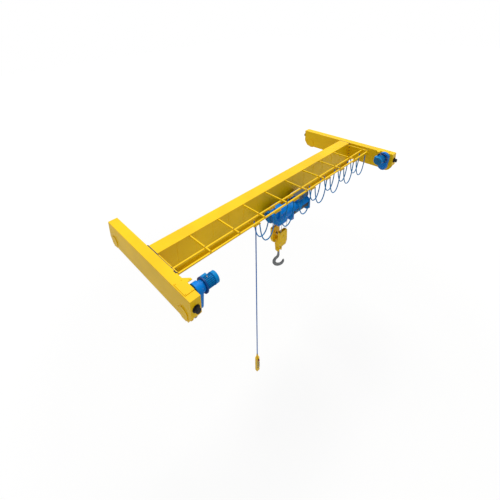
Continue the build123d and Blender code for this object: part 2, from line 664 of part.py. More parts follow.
def hoist():
    frame_x1 = FRAME_X0 + FRAME_T
    x0 = frame_x1 + DRUM_GAP
    x1 = DRUM_END_X0 - DRUM_GAP
    barrel = rod_x(DRUM_R, (x0, x1), DRUM_Y, DRUM_Z)
    rims = [rod_x(DRUM_RIM_R, pair, DRUM_Y, DRUM_Z) for pair in ((x0, x0 + DRUM_RIM_T), (x1 - DRUM_RIM_T, x1))]
    hollow = rod_x(DRUM_R - DRUM_WALL, (x0 + DRUM_RIM_T, x1 - DRUM_RIM_T), DRUM_Y, DRUM_Z)
    shaft_x = (frame_x1 - GEAR_CUT, DRUM_END_X0 + GEAR_CUT)
    shaft = rod_x(DRUM_SHAFT_R, shaft_x, DRUM_Y, DRUM_Z)
    save("hoist_drum", joined([joined([barrel, *rims]) - hollow, shaft]))
    bore_x = (shaft_x[0] - DRUM_GAP, shaft_x[1] + DRUM_GAP)
    bore = rod_x(DRUM_SHAFT_R + RUN_CLEAR, bore_x, DRUM_Y, DRUM_Z)
    y = (GEAR_Y0, GEAR_Y1)
    outline = [
        (y[0], GEAR_Z0 + GEAR_CUT),
        (y[0] + GEAR_CUT, GEAR_Z0),
        (y[1] - GEAR_CUT, GEAR_Z0),
        (y[1], GEAR_Z0 + GEAR_CUT),
        (y[1], GEAR_Z1),
        (y[0] + GEAR_CUT, GEAR_Z1),
        (y[0], GEAR_Z1 - GEAR_CUT),
    ]
    brake = rod_x(BRAKE_R, (GEAR_X1, FRAME_X0), DRUM_Y, BRAKE_Z)
    frame = frame_plate((FRAME_X0, frame_x1))
    save("hoist_gearbox", joined([slab_yz(outline, (GEAR_X0, GEAR_X1)), brake, frame]) - bore)
    guard_x = (frame_x1, DRUM_END_X0)
    guard = rod_x(GUARD_R + GUARD_T, guard_x, DRUM_Y, DRUM_Z) - rod_x(GUARD_R, guard_x, DRUM_Y, DRUM_Z)
    guard = guard - span_box(guard_x, (GUARD_OPEN_Y, 0), (FRAME_Z0, GEAR_Z1))
    guard = guard - span_box(guard_x, (2 * DRUM_Y, 0), (FRAME_Z0, GUARD_LOW_Z))
    end_frame = frame_plate((DRUM_END_X0, DRUM_END_X0 + FRAME_T))
    cap = rod_x(DRUM_CAP_R, (DRUM_END_X0 + FRAME_T, DRUM_CAP_X1), DRUM_Y, DRUM_Z)
    save("hoist_drum_end", joined([end_frame, cap, guard]) - bore)
    hoist_motor()
    hoist_panel()


def rope_between(start, end):
    run = Vector(*end) - Vector(*start)
    return Plane(origin=start, z_dir=run) * extrude(Circle(ROPE_R), amount=run.length)


def ropes():
    reach = SHEAVE_R - SHEAVE_GROOVE + ROPE_R + TOUCH_GAP
    drum_side = DRUM_Y + DRUM_R + ROPE_R + TOUCH_GAP
    front = [rope_between((HOIST_X + s * reach, drum_side, DRUM_Z), (HOIST_X + s * reach, -SHEAVE_Y, SHEAVE_Z)) for s in (-1, 1)]
    top = BEAM_Z1 - BEAM_SIDE
    back = [rope_between((HOIST_X + s * reach, SHEAVE_Y, top), (HOIST_X + s * reach, SHEAVE_Y, SHEAVE_Z)) for s in (-1, 1)]
    save("hoist_rope_front", group(front))
    save("hoist_rope_back", group(back))


def shell_outline(inset):
    half = SHELL_W / 2 - inset
    top = SHELL_Z1 + (SHELL_WALL if inset else 0)
    low = SHELL_Z0 + inset
    cut = SHELL_CUT
    return [
        (HOIST_X - half + cut, low),
        (HOIST_X + half - cut, low),
        (HOIST_X + half, low + cut * 2),
        (HOIST_X + half, top - cut / 2),
        (HOIST_X + half - cut / 2, top),
        (HOIST_X - half + cut / 2, top),
        (HOIST_X - half, top - cut / 2),
        (HOIST_X - half, low + cut * 2),
    ]


def grooved_sheave():
    """A rope sheave on the Y axis, its groove opening outwards so that the slanted rope clears it."""
    low = ROPE_R + TOUCH_GAP
    high = SHEAVE_W / 2 - TOUCH_GAP * 4
    root = SHEAVE_R - SHEAVE_GROOVE
    half = SHEAVE_W / 2
    points = [
        (0, -half),
        (SHEAVE_R, -half),
        (SHEAVE_R, -high),
        (root, -low),
        (root, low),
        (SHEAVE_R, high),
        (SHEAVE_R, half),
        (0, half),
    ]
    return revolve(make_face(Polyline(*points, close=True)), axis=Axis.Y)


def block():
    shells = []
    sheaves = []
    for side in (-1, 1):
        y = sorted((side * SHEAVE_Y - SHELL_T / 2, side * SHEAVE_Y + SHELL_T / 2))
        inner = (y[0] + SHELL_WALL, y[1] - SHELL_WALL)
        shell = slab_xz(shell_outline(0), y) - slab_xz(shell_outline(SHELL_WALL), inner)
        shell = shell - span_box(
            (HOIST_X - SHELL_W / 2 + SHELL_CUT / 2, HOIST_X + SHELL_W / 2 - SHELL_CUT / 2),
            inner,
            (SHELL_Z1 - SHELL_WALL, SHELL_Z1),
        )
        shell = shell - rod_y(PIN_R, HOIST_X, y, SHEAVE_Z)
        shells.append(shell)
        middle = side * SHEAVE_Y
        sheaves.append(Pos(HOIST_X, middle, SHEAVE_Z) * grooved_sheave())
    pin_half = SHEAVE_Y + SHELL_T / 2
    pin = rod_y(PIN_R, HOIST_X, (-pin_half, pin_half), SHEAVE_Z)
    save("block_shells", group(shells))
    save("block_sheaves", joined([pin, *sheaves]))
    outline = [
        (-YOKE_TOP_W / 2, YOKE_TOP_Z),
        (YOKE_TOP_W / 2, YOKE_TOP_Z),
        (YOKE_TOP_W / 2, SHELL_Z0),
        (YOKE_TIP_W / 2, YOKE_TIP_Z),
        (-YOKE_TIP_W / 2, YOKE_TIP_Z),
        (-YOKE_TOP_W / 2, SHELL_Z0),
    ]
    plates = [slab_yz(outline, sorted((HOIST_X + s * YOKE_X, HOIST_X + s * (YOKE_X - YOKE_T)))) for s in (-1, 1)]
    trunnion = rod_x(TRUNNION_R, (HOIST_X - YOKE_X - YOKE_T, HOIST_X + YOKE_X + YOKE_T), 0, TRUNNION_Z)
    strap_z = (YOKE_TOP_Z - SHELL_WALL * 2, YOKE_TOP_Z)
    strap = span_box((HOIST_X - YOKE_X, HOIST_X + YOKE_X), (-YOKE_TOP_W / 2, YOKE_TOP_W / 2), strap_z)
    hole = rod_z(SHANK_R + RUN_CLEAR, HOIST_X, 0, (TRUNNION_Z - TRUNNION_R * 2, TRUNNION_Z + TRUNNION_R * 2))
    seat = span_box(
        (HOIST_X - YOKE_X + YOKE_T, HOIST_X + YOKE_X - YOKE_T),
        (-NUT_R, NUT_R),
        (TRUNNION_Z - TRUNNION_R / 2, TRUNNION_Z + TRUNNION_R / 2),
    )
    save("block_yoke", joined([*plates, trunnion, strap, seat]) - hole)


def hook():
    plane = Plane(origin=(HOIST_X, HOOK_T / 2, 0), x_dir=(1, 0, 0), z_dir=(0, -1, 0))
    outer = Pos(0, HOOK_OUT_Z) * Circle(HOOK_OUT_R)
    inner = Pos(HOOK_IN_X, HOOK_IN_Z) * Circle(HOOK_IN_R)
    mouth_x = (MOUTH[0][0] + MOUTH[0][1]) / 2
    mouth_z = (MOUTH[1][0] + MOUTH[1][1]) / 2
    mouth = Pos(mouth_x, mouth_z) * Rectangle(MOUTH[0][1] - MOUTH[0][0], MOUTH[1][1] - MOUTH[1][0])
    flat = outer - inner - mouth
    body = plane * extrude(flat, amount=HOOK_T)
    body = chamfer(body.edges().filter_by(GeomType.CIRCLE), HOOK_CHAMFER)
    shank = rod_z(SHANK_R, HOIST_X, 0, (HOOK_SHANK_LOW, TRUNNION_Z + TRUNNION_R + NUT_H))
    nut_z = TRUNNION_Z + TRUNNION_R + TOUCH_GAP
    nut = rod_z(NUT_R, HOIST_X, 0, (nut_z, nut_z + NUT_H))
    turn = Pos(HOIST_X, 0, 0) * Rot(0, 0, HOOK_TURN) * Pos(-HOIST_X, 0, 0)
    return turn * joined([body, shank, nut])


def end_stops():
    blocks = []
    pads = []
    for x, s in zip(STOP_XS, (1, -1)):
        for side in (-1, 1):
            y = sorted((side * WEB_Y, side * (WEB_Y + STOP_BLOCK[1])))
            blocks.append(span_box(sorted((x, x - s * STOP_BLOCK[0])), y, (FLANGE_TOP, FLANGE_TOP + STOP_BLOCK[2])))
            middle = side * (WEB_Y + STOP_BLOCK[1] / 2)
            pads.append(rod_x(STOP_BUFFER_R, sorted((x, x + s * STOP_BUFFER_L)), middle, FLANGE_TOP + STOP_BLOCK[2] / 2))
    save("girder_end_stops", group(blocks))
    save("girder_stop_pads", group(pads))


def build():
    girder()
    end_stops()
    drives = []
    for name, x_mid, direction in (("near", 0.0, 1), ("far", SPAN, -1)):
        save(f"{name}_carriage", carriage(x_mid, direction))
        for end, s in (("a", 1), ("b", -1)):
            save(f"{name}_wheel_{end}", wheel(x_mid, s * WHEEL_BASE / 2))
        drives.append(drive(x_mid + direction * CAR_W / 2, direction))
    save("carriage_buffers", group([buffers(0.0), buffers(SPAN)]))
    for name, pair in zip(("gearboxes", "rings", "motors"), zip(*drives)):
        save(f"drive_{name}", group(pair))
    save("cable_arms", arms())
    for name, y in (("inner", INNER_Y), ("outer", OUTER_Y)):
        save(f"cable_rail_{name}", rail(y))
        save(f"cable_trolleys_{name}", cable_trolleys(y))
        save(f"cable_loops_{name}", cable_loops(y))
    pendant()
    trolley()
    hoist()
    ropes()
    block()
    save("hook", hook())


build()
os.makedirs("parts", exist_ok=True)
for node, shape in NODES.items():
    export_step(shape, f"parts/{node}.step")
print(len(NODES), "nodes written")
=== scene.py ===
import json
import math

import bmesh
import bpy
from mathutils import Matrix, Vector


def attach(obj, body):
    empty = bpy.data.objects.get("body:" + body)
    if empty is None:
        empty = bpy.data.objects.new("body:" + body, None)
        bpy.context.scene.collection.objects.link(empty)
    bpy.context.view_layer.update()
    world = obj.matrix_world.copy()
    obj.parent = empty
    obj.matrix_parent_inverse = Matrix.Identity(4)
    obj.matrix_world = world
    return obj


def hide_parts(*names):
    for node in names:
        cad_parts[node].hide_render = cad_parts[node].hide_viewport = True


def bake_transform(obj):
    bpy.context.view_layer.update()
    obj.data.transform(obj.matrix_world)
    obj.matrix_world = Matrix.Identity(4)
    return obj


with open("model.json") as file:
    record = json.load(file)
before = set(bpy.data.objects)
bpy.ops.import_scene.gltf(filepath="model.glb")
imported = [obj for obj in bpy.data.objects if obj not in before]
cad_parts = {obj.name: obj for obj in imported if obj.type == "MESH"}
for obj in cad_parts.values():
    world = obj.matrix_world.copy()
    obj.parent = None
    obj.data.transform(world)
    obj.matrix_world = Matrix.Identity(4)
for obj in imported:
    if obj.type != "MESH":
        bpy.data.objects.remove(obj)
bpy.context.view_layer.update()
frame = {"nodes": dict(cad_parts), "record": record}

# Overhead bridge crane in metres. X runs along the girder, Y along the end carriages and Z upwards.
# The origin lies at the bottom of the wheel treads, under the middle of the near carriage.
nodes = frame["nodes"]

# Camera, solved from the photograph's own straight edges
CAMERA_PLACE = (-2.2364, -4.7542, 4.8067)
CAMERA_TURN = (1.2171, 0.0536, -0.7160)
CAMERA_SENSOR = 36.0  # mm
CAMERA_LENS = 24.446  # mm
CAMERA_SHIFT = (0.0750, -0.2466)
CAMERA_FAR = 200.0

# Girder
SPAN = 7.12  # between the middles of the two end carriages
GIRDER_END = 0.125  # end plate of the girder from the middle of its carriage
WEB_Y = 0.112  # outer side of a web
TOP_LOW = 0.5238  # just under the top flange
FLANGE_TOP = -0.13  # upper side of the bottom flange
END_BOLT = 0.0125
END_BOLT_Y = 0.164
END_BOLT_ZS = [-0.105 + row * 0.1 for row in range(7)]
SHADE_STRIP_T = 0.020  # width of a dark strip over the gap between the girder and a carriage: painted shade of that gap
SHADE_STRIP_HALF = 0.178
SHADE_STRIP_Z = (0.5398, 0.5412)  # it lies on top of the joint and paints the gap's shade
EDGE_SHADE_STRIP = ((0.1052, -0.800, 0.498), (0.1138, -0.179, 0.5412))  # dark sheet in the gap between the carriage and the first arm: painted shade
EDGE_LUG = ((0.086, -0.792, 0.5398), (0.1138, -0.712, 0.5428))
EDGE_LUG_BOLTS = ((0.100, -0.733), (0.100, -0.771))
EDGE_LUG_BOLT = 0.0120
# Weld beads: radius, way out from the web, then heights at the corners or ends of the upright ones
SEAM = (0.005, 0.001, (TOP_LOW, FLANGE_TOP + 0.0005))
BAY_SEAM = (0.0035, 0.0004, (FLANGE_TOP + 0.004, 0.520))
BAYS = 15  # between the diaphragms

# End carriages and wheels
CARRIAGES = ((0.0, 1), (SPAN, -1))  # middle in X and the way inwards
CAR_W = 0.21
CAR_TOP = 0.552  # on the raised plates
CAR_SEAM_Z = 0.529
CAR_SEAM_SUNK = 0.001
CAR_SEAM_HALF = 1.425
CAR_SEAM_R = 0.003
AXLE_Z = 0.1575
WHEEL_Y = 1.215
HUB_R = 0.04  # bare steel inside this radius of a wheel
TREAD_R = 0.15  # and beyond this one, between the flanges
TREAD_HALF = 0.031
BUFFER_PLATE_Y = 1.442
BUFFER_Z = 0.345
TOP_BOLT_X = 0.06
TOP_BOLT_YS = (-1.262, -0.985)
TOP_BOLT = 0.010
OVERHANG_BOLT = (0.165, -1.070, 0.012)  # across, along and thread radius

# Travel drives: distances inwards from the carriage's side
DRIVE_AXIS = (-1.229, 0.4475)  # Y and Z of the motor
DRIVE_BOX_FACE = 0.120
DRIVE_COVER = (0.072, 0.010, 36, 0.066)  # radius, height, sides and top radius
DRIVE_RING_FACE = 0.220
DRIVE_END = 0.480
DRIVE_RIM = (0.412, 0.111, 48, 0.004)  # place, radius, sides and wire of the fan cover's rim
DRIVE_EYE = (0.300, 0.122, 0.016, 16, 0.0045)  # place, height, radius, sides and wire of the lifting eye

# Cable arms and rails
ARM_XS = [0.128 + 0.75 * index for index in range(10)]
RAIL_YS = {"inner": -0.610, "outer": -0.772}
RAIL_SIDE = 0.0152
CLIP_HALF = 0.013
CLIP_T = 0.003
CLIP_Z = (0.468, 0.510)
CLIP_BOLT_Z = 0.503
CLIP_HEAD = (0.005, 0.004, 6)  # radius, height and sides
ARM_TOP = 0.524
ARM_BOLT = 0.009
RAIL_END_XS = (0.1135, 6.9185)
RAIL_END_HALF = (0.0035, 0.0155)
RAIL_END_Z = (0.4655, 0.4955)

# Hanging cables
HANGER_X0 = 2.139
HANGER_PITCH = 0.672
HANGER_COUNT = 8
CABLE_OFF = 0.08  # a loop's clamp from the middle of its cable trolley
PENDANT_OFF = 0.039  # the pendant's cable from the middle of the first one
CABLE_R = 0.013
CLAMP_LOW = 0.425  # underside of the clamps
LOOP_LOW = -0.115  # lowest point of a loop's control points
LOOP_X_SHARES = (1.0, 0.93, 0.80, 0.58, 0.24)
LOOP_Z_SHARES = (0.0, 0.25, 0.56, 0.83, 1.0)
GLAND_DROP = 0.012
GLAND = (0.0175, 0.0125, 20, 0.020)  # radius, height, sides and top radius

# Pendant control: every drop is measured from the top of its case
PENDANT_TOP = -3.308  # upper end of the sleeve above the case
SLEEVE_L = 0.11
PENDANT_FRONT = 0.037
PENDANT_HALF_W = 0.0458
STOP_DROP = 0.055
BUTTON_DROP = 0.11
BUTTON_PITCH = 0.062
BUTTON_X = 0.023
BUTTON_ROWS = 4
RIM_SUNK = 0.0005  # into the face of the case
BUTTON_RIM = (0.019, 0.004, 28, 0.017)  # radius, height, sides and top radius
STOP_PROUD = 0.0215
STOP_CAP = (0.0235, 0.006, 32, 0.017)
START_PROUD = 0.0088
START_CAP = (0.0135, 0.002, 24, 0.011)
CASE_SEAM = (0.001, (0.425, 0.005))  # half its width, which it also stands proud, and its ends

# Hoist and its trolley
HOOK_X = 3.843
ROPE_R = 0.0065
ROPE_GAP = 0.0003  # between a rope and the groove or drum it leaves
DRUM_Y = -0.384
DRUM_Z = -0.190
DRUM_R = 0.130
WOUND_X = (3.737, 4.344)
WOUND_PITCH = 2.15 * ROPE_R
WOUND_STEPS = 20
FRAME_X = (3.688, 3.710, 4.370, 4.392)  # the two plates that carry the drum
SHAFT_BORE = (0.0346, 0.076, 96)  # radius, depth and sides
GUARD_CUT_Y = -0.60
GUARD_CUT_Z = (-0.45, DRUM_Z + 0.062)
GUARD_GAP = 0.0008  # the cut keeps this far from the frame plates
BORE_START = 0.0005  # the shaft's bore starts this far before the second plate
FRAME_BOLTS = ((-0.538, -0.30), (-0.538, -0.12), (-0.254, -0.31), (-0.465, -0.374), (-0.325, -0.374))
FRAME_BOLT = 0.011
CAP_X = 4.450  # outer face of the drum's cap
CAP_COVER = (0.060, 0.010, 36, 0.054)
GEAR_FACE = (-0.560, (3.232, 3.414), (0.02, -0.11, -0.23))  # Y, then the bolts' X and Z
GEAR_SIDE_BOLT = (3.203, -0.285)
GEAR_TOP_BOLT = (3.323, 0.130)
GEAR_EDGE_YS = (-0.46, -0.27)
GEAR_BOLT = 0.010
GEAR_LID = ((3.240, -0.568, -0.200), (3.406, -0.5595, -0.010))
FAN_X = 2.970
FAN_Z = -0.010
PANEL_LID_Z = 0.131  # the panel's lid begins here
PANEL_DOORS = (
    ((3.985, -0.474, 0.0), (4.190, -0.4695, 0.118)),
    ((4.205, -0.474, 0.0), (4.412, -0.4695, 0.118)),
)
# Whitish strips along the lid's right and far edges: a painted highlight where those edges catch the light
PANEL_HIGHLIGHT_STRIPS = (
    ((4.398, -0.476, 0.1395), (4.439, -0.244, 0.146)),
    ((3.957, -0.262, 0.1395), (4.399, -0.244, 0.146)),
)
LATCHES = ((4.178, -0.474, 0.06), (4.400, -0.474, 0.06))
LATCH = (0.009, 0.006, 20)  # radius, height and sides, as for the glands
PANEL_GLANDS = [(3.963, -0.43 + 0.045 * k, 0.03) for k in range(4)]
PANEL_GLAND = (0.011, 0.014, 16)
PLATE_FACE = 0.198  # outer face of a side plate from the middle
ROLLER_Z = -0.07
FREE_ROLLERS = ((-1, 3.383), (-1, 4.303), (1, 3.383))  # side and X of the rollers that nothing covers
FREE_BEAMS = ((-1, 3.540), (-1, 4.146), (1, 4.146))
BEAM_BOLT_X = 0.02
BEAM_BOLT_ZS = (-0.205, -0.228)
BEAM_BOLT = 0.006

# Drive of the trolley, behind the girder
TRAVEL_AXIS = (0.273, ROLLER_Z)
TRAVEL_R = 0.066
TRAVEL_FINS = (26, (4.012, 4.206), 0.003)  # number, ends and wire
TRAVEL_RIMS = ((4.000, 0.0035), (4.216, 0.0045))  # X and wire
TRAVEL_RIM_SIDES = 40
TRAVEL_FAN_X = 3.978
TRAVEL_BOX_X = 4.303
TRAVEL_BOX_FACE = 0.298
TRAVEL_COVER = (0.048, 0.008, 36, 0.044)
TRAVEL_BOLTS = ((4.243, 4.363), (-0.140, 0.000))
TRAVEL_BOLT = 0.008

# Counterweight
WEIGHT_BOX = ((3.403, 3.943), (0.198, 0.390), (-0.250, -0.096))
WEIGHT_PLATES = 6
WEIGHT_STUD = (0.09, 0.017)  # from the end, and thread radius
WEIGHT_EYE = (0.13, 0.014, 0.018, 16, 0.005)  # from the end, height, radius, sides and wire
WEIGHT_JOINT = 0.0012  # half width of a joint
WEIGHT_PROUD = 0.0006  # how far it stands out of the plates
WEIGHT_WELD = (0.0045, 0.001)  # radius, and inwards from the edge

# Hook block and hook
SHEAVE_Z = -1.150
SHELL_FACE = 0.165  # outer face of a shell from the middle
SHEAVE_R = 0.112
SHEAVE_GROOVE = 0.014
FALL_X = SHEAVE_R - SHEAVE_GROOVE + ROPE_R + ROPE_GAP  # rope from the middle of the block
FALL_Y = 0.125
FALL_TOP = -0.248  # where the back falls hang from
FALL_STEPS = 40
PIN_PLATE = (0.044, 0.008, 36, 0.041)
SHELL_BOLTS = ((0.118, -1.01), (0.118, -1.29), (0.062, -1.40))  # on both sides of the middle
YOKE_BOLTS = (0.064, 0.06, (-1.36, -1.405))  # from the middle in X and Y, and heights
BLOCK_BOLT = 0.009
HOOK_TURN = math.radians(-35)
HOOK_NUT = (-1.5677, 0.046, 0.034)  # height, radius and length
HOOK_SIDES = 20
HOOK_STEPS = 5
HOOK_STATIONS = (  # X and Z of the middle line, half width and half thickness
    (0.000, -1.540, 0.0295, 0.0295),
    (0.000, -1.680, 0.0295, 0.0295),
    (0.000, -1.780, 0.0300, 0.0300),
    (-0.004, -1.850, 0.0350, 0.0300),
    (-0.030, -1.910, 0.0400, 0.0310),
    (-0.083, -1.960, 0.0420, 0.0320),
    (-0.118, -2.030, 0.0450, 0.0325),
    (-0.112, -2.105, 0.0490, 0.0325),
    (-0.066, -2.160, 0.0500, 0.0325),
    (0.004, -2.175, 0.0500, 0.0325),
    (0.076, -2.153, 0.0440, 0.0320),
    (0.122, -2.102, 0.0370, 0.0300),
    (0.139, -2.050, 0.0280, 0.0260),
    (0.143, -2.020, 0.0160, 0.0180),
    (0.144, -2.012, 0.0040, 0.0060),
)

# Rings of bolts: radius, number, thread radius, then the first angle and the sweep in degrees
BEARING_RING = (0.134, 8, 0.0095, 22.5)
BUFFER_RING = (0.062, 4, 0.006, 45)
DRIVE_TOP_RING = (0.118, 7, 0.008, -5, 220)
DRIVE_LOW_RING = (0.098, 7, 0.008, 175, 220)
DRIVE_COVER_RING = (0.054, 6, 0.005)
DRIVE_FLANGE_RING = (0.126, 8, 0.008, 22.5)
PIN_RING = (0.028, 3, 0.006, 90)
CAP_RING = (0.096, 8, 0.007)
ROLLER_RING = (0.034, 4, 0.005, 45)
TRAVEL_RING = (0.034, 5, 0.0045)

# Fan grilles: ring pitch, number of rings, sides, ring wire, spoke wire, a spoke's ends, first angle
DRIVE_GRILLE = (0.018, 5, 36, 0.0025, 0.003, (0.01, 0.095), 0)
HOIST_GRILLE = (0.024, 5, 40, 0.003, 0.0035, (0.01, 0.125), 45)
TRAVEL_GRILLE = (0.013, 4, 32, 0.0022, 0.0026, (0.006, 0.058), 0)

# Radius and height of a bolt's washer, head and chamfer, as shares of its thread radius
WASHER_SHARES = (1.15, 0.18)
HEAD_SHARES = (0.95, 0.5)
CHAMFER_SHARES = (0.8, 0.12)
WASHER_SIDES = 20
HEAD_SIDES = 6

# Sides of thin round wires and of weld beads and other round tubes
WIRE_SIDES = 6
BEAD_SIDES = 8

# Finishes
WAVE_PERIOD = 0.628  # length of one diagonal band of the wave texture at scale 1
STRAND_SHADE = 0.3  # how dark it is between two strands
RAMP_ENDS = (0.35, 0.65)
LIGHTER_SHARE = 0.5  # of the spread, towards the lighter end
BROAD_DETAIL = 5.0
GRAIN_DETAIL = 2.0
SMOOTHEST = 0.03  # least roughness
ROUGH_SPREAD = 0.07
BUMP_DEPTH = 0.001
FINISHES = {
    "yellow": dict(
        name="yellow_paint", colour=(0.88, 0.545, 0.0),
        rough=0.42, gloss=0.16, spread=0.09, scale=1.4,
    ),
    "blue": dict(
        name="blue_paint", colour=(0.0, 0.200, 0.66),
        rough=0.42, gloss=0.10, spread=0.14, scale=6.0, bump=0.12,
    ),
    "blue_motor": dict(
        name="motor_paint", colour=(0.0, 0.215, 0.53),
        rough=0.42, gloss=0.10, spread=0.14, scale=6.0, bump=0.12,
    ),
    "blue_dark": dict(
        name="blue_dark_paint", colour=(0.0, 0.055, 0.23),
        rough=0.42, gloss=0.2, spread=0.2, scale=9.0, bump=0.15,
    ),
    "dark": dict(
        name="dark_iron", colour=(0.030, 0.032, 0.036),
        rough=0.5, metal=0.3, spread=0.25, scale=9.0, bump=0.35,
    ),
    "wheel": dict(
        name="wheel_steel", colour=(0.20, 0.20, 0.21),
        rough=0.38, metal=0.85, spread=0.25, scale=12.0, bump=0.25,
    ),
    "rubber": dict(
        name="rubber", colour=(0.006, 0.007, 0.008),
        rough=0.6, gloss=0.22, spread=0.3, scale=20.0, bump=0.4,
    ),
    "cable": dict(
        name="cable_jacket", colour=(0.0, 0.20, 0.50),
        rough=0.55, gloss=0.18, spread=0.2, scale=8.0, bump=0.25,
    ),
    "lead": dict(
        name="pendant_jacket", colour=(0.01, 0.15, 0.52),
        rough=0.55, gloss=0.25, spread=0.2, scale=8.0, bump=0.25,
    ),
    "rope": dict(
        name="rope_steel", colour=(0.62, 0.62, 0.62),
        rough=0.42, metal=0.7, spread=0.3, scale=120.0, bump=0.6, fine=500.0, lay=0.008,
    ),
    # a far darker copy of the rope steel: painted shade on the rope under the drum's guard
    "wound": dict(
        name="wound_rope", colour=(0.07, 0.072, 0.08),
        rough=0.45, metal=0.5, spread=0.3, scale=60.0, bump=0.5, fine=500.0, lay=0.008,
    ),
    "bolt": dict(
        name="bolt_zinc", colour=(0.36, 0.35, 0.33),
        rough=0.35, metal=0.9, spread=0.25, scale=40.0, bump=0.2,
    ),
    "plastic": dict(
        name="pendant_plastic", colour=(0.90, 0.56, 0.005),
        rough=0.42, gloss=0.3, spread=0.08, scale=14.0, bump=0.3, fine=320.0,
    ),
    "black": dict(
        name="black_plastic", colour=(0.015, 0.015, 0.016),
        spread=0.2, scale=30.0, bump=0.2,
    ),
    "red": dict(
        name="red_plastic", colour=(0.62, 0.012, 0.010),
        rough=0.35, spread=0.1, scale=30.0,
    ),
    "green": dict(
        name="green_plastic", colour=(0.010, 0.26, 0.06),
        rough=0.35, spread=0.1, scale=30.0,
    ),
    "panel": dict(
        name="panel_grey", colour=(0.060, 0.085, 0.12),
        rough=0.5, gloss=0.3, spread=0.15, scale=7.0, bump=0.15,
    ),
    # whitish blue: painted highlight for the strips on the panel lid's edges
    "pale_highlight": dict(
        name="panel_lid_highlight", colour=(0.70, 0.78, 0.84),
        rough=0.4, spread=0.08, scale=7.0,
    ),
    "hook": dict(
        name="hook_steel", colour=(0.16, 0.165, 0.17),
        rough=0.45, metal=0.75, spread=0.25, scale=16.0, bump=0.4,
    ),
}
FINISH_OF_SLOT = {
    "yellow_paint": "yellow",
    "blue_paint": "blue",
    "dark_iron": "dark",
    "wheel_steel": "wheel",
    "rubber": "rubber",
    "cable_jacket": "cable",
    "rope_steel": "rope",
    "pendant_plastic": "plastic",
    "button_plastic": "black",
    "panel_grey": "panel",
    "hook_steel": "hook",
}
FINISH_OF_NODE = {"drive_rings": "blue_dark", "drive_motors": "blue_motor"}
UPRIGHT = 0.5  # a face whose normal rises less than this stands upright

# Rounded edges
EDGE_WIDTH = 0.004
EDGE_WIDTHS = {
    "cable_arms": 0.003,
    "cable_rail_inner": 0.0015,
    "cable_rail_outer": 0.0015,
    "pendant_buttons": 0.002,
}
GUARD_EDGE = 0.003
COVER_EDGE = 0.002
DOOR_EDGE = 0.0012
# rounding of the painted highlight strips on the panel's lid
HIGHLIGHT_STRIP_EDGE = 0.001
STOP_EDGE = 0.0015
SHARP_ANGLE = math.radians(35)
BEVEL_ANGLE = math.radians(40)

# Light and floor
SKY_COLOUR = (0.93, 0.96, 1.0, 1)
SKY_LEVEL = 0.56
SUN_COLOUR = (1.0, 0.97, 0.92)
SUN_LEVEL = 2.55
SUN_ANGLE = math.radians(26)
SUN_TURN = (math.radians(-16), math.radians(14), 0.0)
WHITE = (1, 1, 1, 1)
FLOOR_Z = -5.0
FLOOR_T = 0.05
FLOOR_CORNERS = ((-60, -60), (70, 60))
FLOOR_COLOUR = (0.55, 0.55, 0.55, 1)
FLOOR_GLOW = 1.065
FLOOR_FADE = (6.0, 16.0)  # distances from the crane's middle between which the shadow fades out
FLOOR_SHARES = (0.80, 1.0)


def make_camera():
    """Pinhole camera with the photograph's framing."""
    data = bpy.data.cameras.new("camera")
    data.sensor_width = CAMERA_SENSOR
    data.lens = CAMERA_LENS
    data.shift_x = CAMERA_SHIFT[0]
    data.shift_y = CAMERA_SHIFT[1]
    data.clip_end = CAMERA_FAR
    eye = bpy.data.objects.new("camera", data)
    eye.location = CAMERA_PLACE
    eye.rotation_euler = CAMERA_TURN
    bpy.context.scene.collection.objects.link(eye)
    bpy.context.scene.camera = eye
    bpy.context.scene.view_settings.view_transform = "Standard"


def blank_tree(owner):
    """The empty node tree of a material or world."""
    owner.use_nodes = True
    owner.node_tree.nodes.clear()
    return owner.node_tree


def add(tree, kind, **values):
    """A new node; values are its inputs by name, with _ for a space."""
    node = tree.nodes.new(kind)
    for name, value in values.items():
        node.inputs[name.replace("_", " ")].default_value = value
    return node


def link(tree, a, b):
    """Joins an output to an input."""
    tree.links.new(a, b)


def surface(
    name,
    colour,
    rough=0.45,
    metal=0.0,
    gloss=0.5,
    spread=0.12,
    scale=3.0,
    bump=0.1,
    fine=180.0,
    lay=0.0,
):
    """Broad colour drift, fine grain in roughness and a small bump; lay is a rope's strand pitch."""
    m = bpy.data.materials.new(name)
    tree = blank_tree(m)
    out = add(tree, "ShaderNodeOutputMaterial")
    shader = add(tree, "ShaderNodeBsdfPrincipled", Metallic=metal, Specular_IOR_Level=gloss)
    where = add(tree, "ShaderNodeTexCoord").outputs["Object"]
    broad = add(tree, "ShaderNodeTexNoise", Scale=scale, Detail=BROAD_DETAIL)
    grain = add(tree, "ShaderNodeTexNoise", Scale=fine, Detail=GRAIN_DETAIL)
    low, high = max(SMOOTHEST, rough - ROUGH_SPREAD), min(1.0, rough + ROUGH_SPREAD)
    roughness = add(tree, "ShaderNodeMapRange", To_Min=low, To_Max=high)
    relief = add(tree, "ShaderNodeBump", Strength=bump, Distance=BUMP_DEPTH)
    ramp = colour_drift(tree, colour, spread)
    tint, height = ramp.outputs["Color"], grain.outputs["Fac"]
    if lay:
        tint, height = strands(tree, where, tint, lay)
    link(tree, where, broad.inputs["Vector"])
    link(tree, where, grain.inputs["Vector"])
    link(tree, broad.outputs["Fac"], ramp.inputs["Fac"])
    link(tree, tint, shader.inputs["Base Color"])
    link(tree, grain.outputs["Fac"], roughness.inputs["Value"])
    link(tree, roughness.outputs["Result"], shader.inputs["Roughness"])
    link(tree, height, relief.inputs["Height"])
    link(tree, relief.outputs["Normal"], shader.inputs["Normal"])
    link(tree, shader.outputs["BSDF"], out.inputs["Surface"])
    return m


